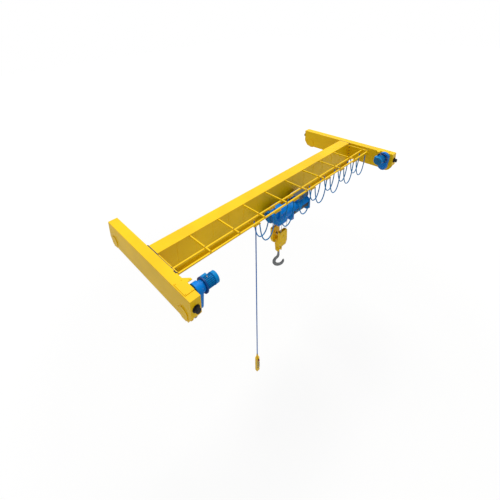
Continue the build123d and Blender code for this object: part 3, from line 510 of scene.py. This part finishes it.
def colour_drift(tree, colour, spread):
    """Ramp from a darker to a slightly lighter shade of the colour."""
    ramp = add(tree, "ShaderNodeValToRGB")
    low = [c * (1.0 - spread) for c in colour]
    high = [min(1.0, c * (1.0 + spread * LIGHTER_SHARE)) for c in colour]
    for element, place, shade in zip(ramp.color_ramp.elements, RAMP_ENDS, (low, high)):
        element.position = place
        element.color = (*shade, 1.0)
    return ramp


def strands(tree, where, tint, lay):
    """Colour and height of slanting bands, raised and darker between, as the strands of a wire rope."""
    bands = add(tree, "ShaderNodeTexWave", Scale=WAVE_PERIOD / lay)
    bands.bands_direction = "DIAGONAL"
    light = add(tree, "ShaderNodeMapRange", To_Min=STRAND_SHADE)
    darker = add(tree, "ShaderNodeVectorMath")
    darker.operation = "SCALE"
    link(tree, where, bands.inputs["Vector"])
    link(tree, bands.outputs["Fac"], light.inputs["Value"])
    link(tree, tint, darker.inputs["Vector"])
    link(tree, light.outputs["Result"], darker.inputs["Scale"])
    return darker.outputs["Vector"], bands.outputs["Fac"]


def turned(axis):
    """Matrix that turns Z to the axis."""
    return Vector(axis).to_track_quat("Z", "Y").to_matrix().to_4x4()


class Pieces:
    """Collects small forms into one mesh."""

    def __init__(self):
        self.bm = bmesh.new()

    def prism(self, place, axis, radius, length, sides=24, top=None):
        """A cylinder or cone whose base is centred on place and which stands along axis."""
        middle = Vector(place) + Vector(axis).normalized() * length / 2
        bmesh.ops.create_cone(
            self.bm,
            cap_ends=True,
            segments=sides,
            radius1=radius,
            radius2=radius if top is None else top,
            depth=length,
            matrix=Matrix.Translation(middle) @ turned(axis),
        )

    def bolt(self, place, axis, radius):
        """Washer and six-sided head with a chamfered top."""
        step = Vector(axis).normalized() * radius
        spot = Vector(place)
        washer_r, washer_h = WASHER_SHARES
        head_r, head_h = HEAD_SHARES
        top_r, chamfer_h = CHAMFER_SHARES
        self.prism(spot, axis, radius * washer_r, radius * washer_h, WASHER_SIDES)
        spot = spot + step * washer_h
        self.prism(spot, axis, radius * head_r, radius * head_h, HEAD_SIDES)
        spot = spot + step * head_h
        self.prism(spot, axis, radius * head_r, radius * chamfer_h, HEAD_SIDES, radius * top_r)

    def slab(self, low, high):
        """A block between two corners."""
        size = [b - a for a, b in zip(low, high)]
        middle = [(a + b) / 2 for a, b in zip(low, high)]
        scale = Matrix.Diagonal((*size, 1.0))
        bmesh.ops.create_cube(self.bm, size=1.0, matrix=Matrix.Translation(middle) @ scale)

    def tube(self, points, radius, sides=10, closed=False):
        """A round tube through the points."""
        points = [Vector(p) for p in points]
        count = len(points)
        rings = []
        side = None
        for index, p in enumerate(points):
            ahead = points[(index + 1) % count] if closed or index + 1 < count else p
            behind = points[index - 1] if closed or index > 0 else p
            along = (ahead - behind).normalized()
            if side is None:
                side = along.orthogonal().normalized()
            side = (side - along * side.dot(along)).normalized()
            rings.append(self.ring(p, side * radius, along.cross(side) * radius, sides))
        self.skin(rings, closed)

    def ring(self, middle, across, up, sides):
        """Vertices on an ellipse with these two half axes."""
        turns = [2 * math.pi * k / sides for k in range(sides)]
        return [self.bm.verts.new(middle + across * math.cos(a) + up * math.sin(a)) for a in turns]

    def skin(self, rings, closed=False):
        """Faces between rings of vertices, with both ends covered unless the rings close on themselves."""
        pairs = list(zip(rings, rings[1:]))
        if closed:
            pairs.append((rings[-1], rings[0]))
        sides = len(rings[0])
        for one, two in pairs:
            for k in range(sides):
                n = (k + 1) % sides
                self.bm.faces.new((one[k], one[n], two[n], two[k]))
        if not closed:
            self.bm.faces.new(list(reversed(rings[0])))
            self.bm.faces.new(rings[-1])

    def done(self, name, material, body=None, bevel=0.0, smooth=True):
        """Turns what was collected into one object."""
        bmesh.ops.recalc_face_normals(self.bm, faces=self.bm.faces)
        mesh = bpy.data.meshes.new(name)
        self.bm.to_mesh(mesh)
        self.bm.free()
        obj = bpy.data.objects.new(name, mesh)
        bpy.context.scene.collection.objects.link(obj)
        mesh.materials.append(material)
        if smooth:
            mesh.shade_smooth()
            mesh.set_sharp_from_angle(angle=SHARP_ANGLE)
        if bevel:
            soften(obj, bevel)
        if body:
            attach(obj, body)
        return obj


def soften(obj, width):
    """Rounds an object's edges."""
    mod = obj.modifiers.new("edge", "BEVEL")
    mod.width = width
    mod.segments = 2
    mod.limit_method = "ANGLE"
    mod.angle_limit = BEVEL_ANGLE
    mod.harden_normals = False


def ring_of_bolts(kit, centre, axis, radius, count, size, start=0.0, sweep=360.0):
    """Bolts on a circle round an X or Y axis."""
    for k in range(count):
        a = math.radians(start + sweep * k / count)
        u, w = radius * math.cos(a), radius * math.sin(a)
        if axis[0]:
            spot = (centre[0], centre[1] + u, centre[2] + w)
        else:
            spot = (centre[0] + u, centre[1], centre[2] + w)
        kit.bolt(spot, axis, size)


def circle_x(x, y, z, radius, count):
    """Points on a circle round an X axis."""
    turns = [2 * math.pi * k / count for k in range(count)]
    return [(x, y + radius * math.cos(a), z + radius * math.sin(a)) for a in turns]


def fan_grille(kit, x, y, z, pitch, rings, sides, wire, spoke_wire, spoke, start):
    """Wire rings and four spokes over the end of a fan cover."""
    for k in range(1, rings + 1):
        kit.tube(circle_x(x, y, z, pitch * k, sides), wire, WIRE_SIDES, closed=True)
    for quarter in range(4):
        a = math.radians(start + 90 * quarter)
        kit.tube([(x, y + r * math.cos(a), z + r * math.sin(a)) for r in spoke], spoke_wire, WIRE_SIDES)


def loop_points(x0, x1, y):
    """Control points of one hanging loop, as in the solid model."""
    middle = (x0 + x1) / 2
    half = (x1 - x0) / 2 - CABLE_OFF
    drop = CLAMP_LOW - LOOP_LOW
    left = [(middle - half * a, y, CLAMP_LOW - drop * b) for a, b in zip(LOOP_X_SHARES, LOOP_Z_SHARES)]
    right = [(2 * middle - p[0], p[1], p[2]) for p in reversed(left)]
    return left + right


def cord_curve(name, points, material):
    """A cable along a smooth line with these control points."""
    data = bpy.data.curves.new(name, "CURVE")
    data.dimensions = "3D"
    data.bevel_depth = CABLE_R
    data.bevel_resolution = 4
    data.resolution_u = 8
    data.use_fill_caps = True
    line = data.splines.new("NURBS")
    line.points.add(len(points) - 1)
    for point, place in zip(line.points, points):
        point.co = (*place, 1.0)
    line.order_u = 3
    line.use_endpoint_u = True
    data.materials.append(material)
    obj = bpy.data.objects.new(name, data)
    bpy.context.scene.collection.objects.link(obj)
    return obj


def cords(mats):
    """The loops between the cable trolleys, and the pendant's lead."""
    for name, y in RAIL_YS.items():
        xs = [HANGER_X0 + HANGER_PITCH * index for index in range(HANGER_COUNT)]
        for index, (x0, x1) in enumerate(zip(xs, xs[1:])):
            points = loop_points(x0, x1, y)
            piece = cord_curve(f"loop_{name}_{index}", points, mats["cable"])
            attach(piece, "bridge")
            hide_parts(f"cable_loops_{name}")
    top = (HANGER_X0 - PENDANT_OFF, RAIL_YS["outer"], CLAMP_LOW)
    low = (top[0], top[1], PENDANT_TOP)
    middle = tuple((a + b) / 2 for a, b in zip(top, low))
    piece = cord_curve("pendant_lead", [top, middle, low], mats["lead"])
    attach(piece, "bridge")
    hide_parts("pendant_cable")


def dress_solids(mats):
    """Finishes and softened edges on the carried-over solids."""
    for part in frame["record"]["subparts"]:
        name = part["node"]
        obj = nodes[name]
        obj.data.materials.clear()
        obj.data.materials.append(mats[FINISH_OF_NODE.get(name, FINISH_OF_SLOT[part["material_slot"]])])
        if not name.startswith(("cable_loops", "pendant_cable", "hoist_rope")):
            soften(obj, EDGE_WIDTHS.get(name, EDGE_WIDTH))
    for name in ("near_wheel_a", "near_wheel_b", "far_wheel_a", "far_wheel_b"):
        x_mid = 0.0 if name.startswith("near") else SPAN
        y_mid = WHEEL_Y if name.endswith("a") else -WHEEL_Y
        two_tone(nodes[name], mats["yellow"], lambda c, n: on_wheel_side(c, x_mid, y_mid))
    two_tone(nodes["hoist_panel"], mats["blue"], lambda c, n: abs(n.z) < UPRIGHT and c.z < PANEL_LID_Z)


def on_wheel_side(centre, x_mid, y_mid):
    """True on the painted faces of a wheel, false on its tread and axle."""
    radius = math.hypot(centre.y - y_mid, centre.z - AXLE_Z)
    on_tread = abs(centre.x - x_mid) < TREAD_HALF and radius > TREAD_R
    return radius > HUB_R and not on_tread


def two_tone(obj, material, chosen):
    """Gives the chosen faces of a solid a second finish."""
    obj.data.materials.append(material)
    index = len(obj.data.materials) - 1
    for face in obj.data.polygons:
        if chosen(obj.matrix_world @ face.center, face.normal):
            face.material_index = index


def guard_cutter(material):
    """What is cut from the guard: its front edge, and a little play round the drum's shaft."""
    cutter = Pieces()
    low = (FRAME_X[1] + GUARD_GAP, GUARD_CUT_Y, GUARD_CUT_Z[0])
    cutter.slab(low, (FRAME_X[2] - GUARD_GAP, DRUM_Y, GUARD_CUT_Z[1]))
    radius, depth, sides = SHAFT_BORE
    cutter.prism((FRAME_X[2] - BORE_START, DRUM_Y, DRUM_Z), (1, 0, 0), radius, depth, sides)
    return cutter.done("guard_cutter", material, smooth=False)


def open_guard(mats):
    """The drum's guard, cut back at the front so that the wound rope shows under it."""
    source = nodes["hoist_drum_end"]
    tool = guard_cutter(mats["blue"])
    piece = bpy.data.objects.new("drum_guard", source.data.copy())
    piece.matrix_world = source.matrix_world
    bpy.context.scene.collection.objects.link(piece)
    cut = piece.modifiers.new("cut", "BOOLEAN")
    cut.operation = "DIFFERENCE"
    cut.object = tool
    cut.solver = "EXACT"
    bpy.context.view_layer.update()
    seen = piece.evaluated_get(bpy.context.evaluated_depsgraph_get())
    piece.data = bpy.data.meshes.new_from_object(seen)
    piece.modifiers.clear()
    bpy.data.objects.remove(tool)
    soften(piece, GUARD_EDGE)
    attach(piece, "trolley")
    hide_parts("hoist_drum_end")


def girder_bolts(mats):
    """Bolts of the girder's end plates, and dark strips on top of the joints and beside the first arm:
    painted shade of the gaps there.
    """
    bolts = Pieces()
    strips = Pieces()
    for x, s in ((GIRDER_END, 1), (SPAN - GIRDER_END, -1)):
        for side in (-1, 1):
            for z in END_BOLT_ZS:
                bolts.bolt((x, side * END_BOLT_Y, z), (s, 0, 0), END_BOLT)
        # dark strip over the joint: painted shade of the gap
        low, high = sorted((x, x - s * SHADE_STRIP_T))
        strips.slab((low, -SHADE_STRIP_HALF, SHADE_STRIP_Z[0]), (high, SHADE_STRIP_HALF, SHADE_STRIP_Z[1]))
    # dark sheet in the gap beside the first arm: painted shade
    strips.slab(*EDGE_SHADE_STRIP)
    strips.slab(*EDGE_LUG)
    for x, y in EDGE_LUG_BOLTS:
        bolts.bolt((x, y, EDGE_LUG[1][2]), (0, 0, 1), EDGE_LUG_BOLT)
    bolts.done("girder_bolts", mats["dark"], "bridge")
    strips.done("girder_joint_strips", mats["dark"], "bridge")


def girder_seams(mats):
    """Weld beads along the girder's corners, and upright ones where the diaphragms stand inside."""
    seams = Pieces()
    length = SPAN - 2 * GIRDER_END
    radius, out, heights = SEAM
    bay_radius, bay_out, bay_ends = BAY_SEAM
    for side in (-1, 1):
        y = side * (WEB_Y + out)
        for z in heights:
            seams.tube([(GIRDER_END, y, z), (SPAN - GIRDER_END, y, z)], radius, BEAD_SIDES)
        y = side * (WEB_Y + bay_out)
        for index in range(1, BAYS):
            x = GIRDER_END + length * index / BAYS
            seams.tube([(x, y, z) for z in bay_ends], bay_radius, BEAD_SIDES)
    seams.done("girder_seams", mats["yellow"], "bridge")


def carriage_details(mats):
    """Bearing, buffer and top bolts and the weld beads of the two end carriages."""
    bolts = Pieces()
    dark = Pieces()
    seams = Pieces()
    for x_mid, inward in CARRIAGES:
        for s in (-1, 1):
            for side in (-1, 1):
                if s > 0 or side != inward:
                    face = (x_mid + side * CAR_W / 2, s * WHEEL_Y, AXLE_Z)
                    ring_of_bolts(bolts, face, (side, 0, 0), *BEARING_RING)
            ring_of_bolts(dark, (x_mid, s * BUFFER_PLATE_Y, BUFFER_Z), (0, s, 0), *BUFFER_RING)
        for side in (-1, 1):
            x = x_mid + side * (CAR_W / 2 - CAR_SEAM_SUNK)
            ends = [(x, y, CAR_SEAM_Z) for y in (-CAR_SEAM_HALF, CAR_SEAM_HALF)]
            seams.tube(ends, CAR_SEAM_R, BEAD_SIDES)
        for y in TOP_BOLT_YS:
            for side in (inward, -inward):
                bolts.bolt((x_mid + side * TOP_BOLT_X, y, CAR_TOP), (0, 0, 1), TOP_BOLT)
        across, along, size = OVERHANG_BOLT
        bolts.bolt((x_mid + inward * across, along, CAR_TOP), (0, 0, 1), size)
    bolts.done("carriage_bolts", mats["yellow"], "bridge")
    dark.done("buffer_bolts", mats["dark"], "bridge")
    seams.done("carriage_seams", mats["yellow"], "bridge")


def beside(x_mid, inward, reach):
    """X at a distance from the inner side of a carriage."""
    return x_mid + inward * (CAR_W / 2 + reach)


def drive_details(mats):
    """Bolts, covers and fan grilles of the two travel drives."""
    bolts = Pieces()
    covers = Pieces()
    grilles = Pieces()
    for x_mid, inward in CARRIAGES:
        axis = (inward, 0, 0)
        face = beside(x_mid, inward, DRIVE_BOX_FACE)
        ring_of_bolts(bolts, (face, *DRIVE_AXIS), axis, *DRIVE_TOP_RING)
        ring_of_bolts(bolts, (face, -WHEEL_Y, AXLE_Z), axis, *DRIVE_LOW_RING)
        covers.prism((face, -WHEEL_Y, AXLE_Z), axis, *DRIVE_COVER)
        cover_face = beside(x_mid, inward, DRIVE_BOX_FACE + DRIVE_COVER[1])
        ring_of_bolts(bolts, (cover_face, -WHEEL_Y, AXLE_Z), axis, *DRIVE_COVER_RING)
        flange_face = beside(x_mid, inward, DRIVE_RING_FACE)
        ring_of_bolts(bolts, (flange_face, *DRIVE_AXIS), axis, *DRIVE_FLANGE_RING)
        fan_grille(grilles, beside(x_mid, inward, DRIVE_END), *DRIVE_AXIS, *DRIVE_GRILLE)
        reach, radius, sides, wire = DRIVE_RIM
        rim = circle_x(beside(x_mid, inward, reach), *DRIVE_AXIS, radius, sides)
        covers.tube(rim, wire, BEAD_SIDES, closed=True)
        reach, rise, radius, sides, wire = DRIVE_EYE
        middle = (beside(x_mid, inward, reach), DRIVE_AXIS[0], DRIVE_AXIS[1] + rise)
        bolts.tube(circle_x(*middle, radius, sides), wire, BEAD_SIDES, closed=True)
    bolts.done("drive_bolts", mats["bolt"], "bridge")
    covers.done("drive_covers", mats["blue"], "bridge")
    grilles.done("drive_grilles", mats["dark"], "bridge")


def rail_details(mats):
    """Clips and bolts where each rail crosses an arm, and the rails' end stops."""
    clips = Pieces()
    pins = Pieces()
    ends = Pieces()
    for x in ARM_XS:
        for y in RAIL_YS.values():
            for s in (-1, 1):
                face = y + s * RAIL_SIDE
                low, high = sorted((face, face + s * CLIP_T))
                clips.slab((x - CLIP_HALF, low, CLIP_Z[0]), (x + CLIP_HALF, high, CLIP_Z[1]))
                clips.prism((x, face + s * CLIP_T, CLIP_BOLT_Z), (0, s, 0), *CLIP_HEAD)
            pins.bolt((x, y, ARM_TOP), (0, 0, 1), ARM_BOLT)
    half_x, half_y = RAIL_END_HALF
    for y in RAIL_YS.values():
        for x in RAIL_END_XS:
            ends.slab((x - half_x, y - half_y, RAIL_END_Z[0]), (x + half_x, y + half_y, RAIL_END_Z[1]))
    clips.done("rail_clips", mats["yellow"], "bridge")
    pins.done("arm_bolts", mats["dark"], "bridge")
    ends.done("rail_ends", mats["black"], "bridge")


def cable_glands(mats):
    """A gland round each cable where it leaves its clamp."""
    glands = Pieces()
    for y in RAIL_YS.values():
        for index in range(HANGER_COUNT):
            first, last = index == 0, index == HANGER_COUNT - 1
            for s in (-1, 1):
                if (first and s < 0 and y != RAIL_YS["outer"]) or (last and s > 0):
                    continue
                out = PENDANT_OFF if first and s < 0 else CABLE_OFF
                x = HANGER_X0 + HANGER_PITCH * index + s * out
                glands.prism((x, y, CLAMP_LOW - GLAND_DROP), (0, 0, 1), *GLAND)
    glands.done("cable_glands", mats["black"], "bridge")


def drum_rope(mats):
    """Rope wound on the drum in one layer, in the darker rope finish that paints the shade under the
    guard.
    """
    kit = Pieces()
    x0, x1 = WOUND_X
    radius = DRUM_R + ROPE_R
    steps = int((x1 - x0) / WOUND_PITCH) * WOUND_STEPS
    points = []
    for k in range(steps + 1):
        a = 2 * math.pi * k / WOUND_STEPS
        x = x0 + (x1 - x0) * k / steps
        points.append((x, DRUM_Y + radius * math.cos(a), DRUM_Z + radius * math.sin(a)))
    kit.tube(points, ROPE_R, WIRE_SIDES)
    # darker rope finish: painted shade under the guard
    kit.done("drum_rope", mats["wound"], "drum")


def hanging_ropes(mats):
    """The four falls between the drum, the trolley and the hook block."""
    drum_side = DRUM_Y + DRUM_R + ROPE_R + ROPE_GAP
    falls = (("front", drum_side, -FALL_Y, DRUM_Z), ("back", FALL_Y, FALL_Y, FALL_TOP))
    for name, y0, y1, top in falls:
        kit = Pieces()
        shares = [k / FALL_STEPS for k in range(FALL_STEPS + 1)]
        for s in (-1, 1):
            x = HOOK_X + s * FALL_X
            kit.tube([(x, y0 + (y1 - y0) * t, top + (SHEAVE_Z - top) * t) for t in shares], ROPE_R)
        obj = kit.done(f"rope_falls_{name}", mats["rope"])
        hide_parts(f"hoist_rope_{name}")
        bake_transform(obj)


def between(a, b, c, d, t):
    """A value between b and c on the smooth line that passes through all four."""
    bend = (2 * a - 5 * b + 4 * c - d) * t * t + (3 * b - a - 3 * c + d) * t**3
    return 0.5 * (2 * b + (c - a) * t + bend)


def smooth_rows(stations, steps):
    """The stations with further rows on a smooth line between them."""
    rows = []
    last = len(stations) - 1
    for index in range(last):
        near = [stations[min(max(index + k, 0), last)] for k in (-1, 0, 1, 2)]
        for step in range(steps):
            rows.append([between(*four, step / steps) for four in zip(*near)])
    rows.append(list(stations[-1]))
    return rows


def hook_piece(mats):
    """Forged hook: a round shank that runs into a bowl with a full, tapering section."""
    rows = smooth_rows(HOOK_STATIONS, HOOK_STEPS)
    place = Matrix.Translation((HOOK_X, 0, 0)) @ Matrix.Rotation(HOOK_TURN, 4, "Z")
    flat = place.to_3x3()
    kit = Pieces()
    rings = []
    for index, (x, z, wide, thick) in enumerate(rows):
        ahead = rows[min(index + 1, len(rows) - 1)]
        behind = rows[max(index - 1, 0)]
        along = Vector((ahead[0] - behind[0], 0, ahead[1] - behind[1])).normalized()
        across = flat @ Vector((-along.z, 0, along.x)) * wide
        out = flat @ Vector((0, 1, 0)) * thick
        rings.append(kit.ring(place @ Vector((x, 0, z)), across, out, HOOK_SIDES))
    kit.skin(rings)
    nut_z, nut_r, nut_l = HOOK_NUT
    kit.prism((HOOK_X, 0, nut_z), (0, 0, 1), nut_r, nut_l, HEAD_SIDES)
    obj = kit.done("forged_hook", mats["hook"], "hook")
    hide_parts("hook")


def block_details(mats):
    """Pin plates and bolts on the hook block's shells and yoke."""
    bolts = Pieces()
    plates = Pieces()
    yoke_x, yoke_y, yoke_zs = YOKE_BOLTS
    for side in (-1, 1):
        face = side * SHELL_FACE
        axis = (0, side, 0)
        plates.prism((HOOK_X, face, SHEAVE_Z), axis, *PIN_PLATE)
        ring_of_bolts(bolts, (HOOK_X, face + side * PIN_PLATE[1], SHEAVE_Z), axis, *PIN_RING)
        for dx, z in SHELL_BOLTS:
            for s in (-1, 1):
                bolts.bolt((HOOK_X + s * dx, face, z), axis, BLOCK_BOLT)
        for z in yoke_zs:
            for s in (-1, 1):
                bolts.bolt((HOOK_X + s * yoke_x, side * yoke_y, z), (s, 0, 0), BLOCK_BOLT)
    bolts.done("block_bolts", mats["bolt"], "hook_block")
    plates.done("block_pin_plates", mats["yellow"], "hook_block")


def hoist_details(mats):
    """Bolts and covers of the hoist's gearbox and drum frame, and its motor's fan grille."""
    bolts = Pieces()
    covers = Pieces()
    grille = Pieces()
    face_y, xs, zs = GEAR_FACE
    for x in xs:
        for z in zs:
            bolts.bolt((x, face_y, z), (0, -1, 0), GEAR_BOLT)
    for y in GEAR_EDGE_YS:
        bolts.bolt((GEAR_SIDE_BOLT[0], y, GEAR_SIDE_BOLT[1]), (-1, 0, 0), GEAR_BOLT)
        bolts.bolt((GEAR_TOP_BOLT[0], y, GEAR_TOP_BOLT[1]), (0, 0, 1), GEAR_BOLT)
    for y, z in FRAME_BOLTS:
        bolts.bolt((FRAME_X[0], y, z), (-1, 0, 0), FRAME_BOLT)
        bolts.bolt((FRAME_X[3], y, z), (1, 0, 0), FRAME_BOLT)
    ring_of_bolts(bolts, (CAP_X, DRUM_Y, DRUM_Z), (1, 0, 0), *CAP_RING)
    covers.prism((CAP_X, DRUM_Y, DRUM_Z), (1, 0, 0), *CAP_COVER)
    covers.slab(*GEAR_LID)
    fan_grille(grille, FAN_X, DRUM_Y, FAN_Z, *HOIST_GRILLE)
    bolts.done("hoist_bolts", mats["bolt"], "trolley")
    covers.done("hoist_covers", mats["blue"], "trolley", bevel=COVER_EDGE)
    grille.done("hoist_fan_grille", mats["dark"], "trolley")


def panel_details(mats):
    """Doors, latches and cable glands of the control panel on the hoist, and whitish strips along its
    lid's edges that paint a highlight.
    """
    doors = Pieces()
    for corners in PANEL_DOORS:
        doors.slab(*corners)
    doors.done("panel_doors", mats["panel"], "trolley", bevel=DOOR_EDGE)
    # whitish strips on the lid's edges: painted highlight
    edge = Pieces()
    for corners in PANEL_HIGHLIGHT_STRIPS:
        edge.slab(*corners)
    edge.done("panel_edge_highlight", mats["pale_highlight"], "trolley", bevel=HIGHLIGHT_STRIP_EDGE)
    small = Pieces()
    for spot in LATCHES:
        small.prism(spot, (0, -1, 0), *LATCH)
    for spot in PANEL_GLANDS:
        small.prism(spot, (-1, 0, 0), *PANEL_GLAND)
    small.done("panel_latches", mats["black"], "trolley")


def trolley_details(mats):
    """Bolts on the trolley's side plates, round the rollers and at the ends of the cross beams."""
    bolts = Pieces()
    for side, x in FREE_ROLLERS:
        ring_of_bolts(bolts, (x, side * PLATE_FACE, ROLLER_Z), (0, side, 0), *ROLLER_RING)
    for side, x in FREE_BEAMS:
        for dx in (-BEAM_BOLT_X, BEAM_BOLT_X):
            for z in BEAM_BOLT_ZS:
                bolts.bolt((x + dx, side * PLATE_FACE, z), (0, side, 0), BEAM_BOLT)
    bolts.done("trolley_bolts", mats["bolt"], "trolley")


def travel_drive_details(mats):
    """Cooling fins, fan grille, cover and bolts of the drive behind the girder."""
    axis_y, axis_z = TRAVEL_AXIS
    fins = Pieces()
    count, ends, wire = TRAVEL_FINS
    for _, y, z in circle_x(0.0, axis_y, axis_z, TRAVEL_R, count):
        fins.tube([(x, y, z) for x in ends], wire, WIRE_SIDES)
    for x, rim in TRAVEL_RIMS:
        fins.tube(circle_x(x, axis_y, axis_z, TRAVEL_R, TRAVEL_RIM_SIDES), rim, BEAD_SIDES, closed=True)
    fins.prism((TRAVEL_BOX_X, TRAVEL_BOX_FACE, axis_z), (0, 1, 0), *TRAVEL_COVER)
    fins.done("travel_drive_fins", mats["blue"], "trolley")
    bolts = Pieces()
    xs, zs = TRAVEL_BOLTS
    for x in xs:
        for z in zs:
            bolts.bolt((x, TRAVEL_BOX_FACE, z), (0, 1, 0), TRAVEL_BOLT)
    cover_face = TRAVEL_BOX_FACE + TRAVEL_COVER[1]
    ring_of_bolts(bolts, (TRAVEL_BOX_X, cover_face, axis_z), (0, 1, 0), *TRAVEL_RING)
    bolts.done("travel_drive_bolts", mats["bolt"], "trolley")
    grille = Pieces()
    fan_grille(grille, TRAVEL_FAN_X, axis_y, axis_z, *TRAVEL_GRILLE)
    grille.done("travel_drive_grille", mats["dark"], "trolley")


def counterweight_details(mats):
    """The weight is a stack of plates: their joints, the studs through them, welds and lifting eyes."""
    (x0, x1), (y0, y1), (z0, z1) = WEIGHT_BOX
    studs = Pieces()
    inset, size = WEIGHT_STUD
    for x in (x0 + inset, x1 - inset):
        studs.bolt((x, y1, (z0 + z1) / 2), (0, 1, 0), size)
    inset, rise, radius, sides, wire = WEIGHT_EYE
    turns = [2 * math.pi * k / sides for k in range(sides)]
    for x in (x0 + inset, x1 - inset):
        eye = [(x + radius * math.cos(a), (y0 + y1) / 2, z1 + rise + radius * math.sin(a)) for a in turns]
        studs.tube(eye, wire, BEAD_SIDES, closed=True)
    studs.done("weight_studs", mats["bolt"], "trolley")
    joints = Pieces()
    for k in range(1, WEIGHT_PLATES):
        y = y0 + (y1 - y0) * k / WEIGHT_PLATES
        low = (x0 - WEIGHT_PROUD, y - WEIGHT_JOINT, z0 - WEIGHT_PROUD)
        joints.slab(low, (x1 + WEIGHT_PROUD, y + WEIGHT_JOINT, z1 + WEIGHT_PROUD))
    joints.done("weight_plate_joints", mats["dark"], "trolley")
    welds = Pieces()
    radius, inwards = WEIGHT_WELD
    y = y0 + inwards
    welds.tube([(x0, y, z1), (x1, y, z1)], radius, BEAD_SIDES)
    for x in (x0, x1):
        welds.tube([(x, y, z0), (x, y, z1)], radius, BEAD_SIDES)
    welds.done("weight_welds", mats["yellow"], "trolley")


def pendant_details(mats):
    """Button rims, the red stop button, the green start button and the seam of the pendant's case."""
    x = HANGER_X0 - PENDANT_OFF
    y = RAIL_YS["outer"]
    face = y - PENDANT_FRONT
    top = PENDANT_TOP - SLEEVE_L
    first = top - BUTTON_DROP
    rims = Pieces()
    for row in range(BUTTON_ROWS):
        for s in (-1, 1):
            spot = (x + s * BUTTON_X, face + RIM_SUNK, first - BUTTON_PITCH * row)
            rims.prism(spot, (0, -1, 0), *BUTTON_RIM)
    rims.done("button_rims", mats["bolt"], "bridge")
    stop = Pieces()
    stop.prism((x, face - STOP_PROUD, top - STOP_DROP), (0, -1, 0), *STOP_CAP)
    stop.done("stop_cap", mats["red"], "bridge", bevel=STOP_EDGE)
    start = Pieces()
    start.prism((x - BUTTON_X, face - START_PROUD, first), (0, -1, 0), *START_CAP)
    start.done("start_cap", mats["green"], "bridge")
    seam = Pieces()
    half, drops = CASE_SEAM
    for s in (-1, 1):
        low, high = sorted((x + s * PENDANT_HALF_W, x + s * (PENDANT_HALF_W + half)))
        seam.slab((low, y - half, top - drops[0]), (high, y + half, top - drops[1]))
    seam.done("pendant_seam", mats["black"], "bridge")


def seen_rays(tree):
    """1 for the rays that show the background: from the camera, off gloss and through glass."""
    rays = add(tree, "ShaderNodeLightPath")
    total = rays.outputs["Is Camera Ray"]
    for name in ("Is Glossy Ray", "Is Transmission Ray"):
        larger = add(tree, "ShaderNodeMath")
        larger.operation = "MAXIMUM"
        link(tree, total, larger.inputs[0])
        link(tree, rays.outputs[name], larger.inputs[1])
        total = larger.outputs["Value"]
    return total


def make_sky():
    """Even light that shows as plain white."""
    world = bpy.data.worlds.new("world")
    bpy.context.scene.world = world
    tree = blank_tree(world)
    out = add(tree, "ShaderNodeOutputWorld")
    seen = add(tree, "ShaderNodeBackground", Color=WHITE, Strength=1.0)
    lit = add(tree, "ShaderNodeBackground", Color=SKY_COLOUR, Strength=SKY_LEVEL)
    mix = add(tree, "ShaderNodeMixShader")
    link(tree, seen_rays(tree), mix.inputs["Fac"])
    link(tree, lit.outputs["Background"], mix.inputs[1])
    link(tree, seen.outputs["Background"], mix.inputs[2])
    link(tree, mix.outputs["Shader"], out.inputs["Surface"])


def make_sun():
    """A soft sun from above, a little to one side."""
    sun = bpy.data.lights.new("sun", "SUN")
    sun.energy = SUN_LEVEL
    sun.angle = SUN_ANGLE
    sun.color = SUN_COLOUR
    lamp = bpy.data.objects.new("sun", sun)
    lamp.rotation_euler = SUN_TURN
    bpy.context.scene.collection.objects.link(lamp)


def make_floor():
    """The floor under the crane, far enough below for the pendant."""
    kit = Pieces()
    kit.slab((*FLOOR_CORNERS[0], FLOOR_Z - FLOOR_T), (*FLOOR_CORNERS[1], FLOOR_Z))
    floor = kit.done("floor", floor_finish(), smooth=False)


def floor_finish():
    """White floor that keeps a soft shadow near the crane and fades to plain white further out."""
    m = bpy.data.materials.new("floor_white")
    tree = blank_tree(m)
    out = add(tree, "ShaderNodeOutputMaterial")
    matte = add(tree, "ShaderNodeBsdfDiffuse", Color=FLOOR_COLOUR)
    glow = add(tree, "ShaderNodeEmission", Strength=FLOOR_GLOW)
    where = add(tree, "ShaderNodeTexCoord")
    far = add(tree, "ShaderNodeVectorMath")
    far.operation = "DISTANCE"
    far.inputs[1].default_value = (SPAN / 2, 0.0, FLOOR_Z)
    near, away = FLOOR_FADE
    low, high = FLOOR_SHARES
    fade = add(tree, "ShaderNodeMapRange", From_Min=near, From_Max=away, To_Min=low, To_Max=high)
    share = add(tree, "ShaderNodeMath")
    share.operation = "MULTIPLY"
    mix = add(tree, "ShaderNodeMixShader")
    link(tree, where.outputs["Object"], far.inputs[0])
    link(tree, far.outputs["Value"], fade.inputs["Value"])
    link(tree, seen_rays(tree), share.inputs[0])
    link(tree, fade.outputs["Result"], share.inputs[1])
    link(tree, share.outputs["Value"], mix.inputs["Fac"])
    link(tree, matte.outputs["BSDF"], mix.inputs[1])
    link(tree, glow.outputs["Emission"], mix.inputs[2])
    link(tree, mix.outputs["Shader"], out.inputs["Surface"])
    return m


make_camera()
mats = {key: surface(**values) for key, values in FINISHES.items()}
cords(mats)
dress_solids(mats)
open_guard(mats)
girder_bolts(mats)
girder_seams(mats)
carriage_details(mats)
drive_details(mats)
rail_details(mats)
cable_glands(mats)
drum_rope(mats)
hanging_ropes(mats)
hook_piece(mats)
block_details(mats)
hoist_details(mats)
panel_details(mats)
trolley_details(mats)
travel_drive_details(mats)
counterweight_details(mats)
pendant_details(mats)
make_sky()
make_sun()
make_floor()
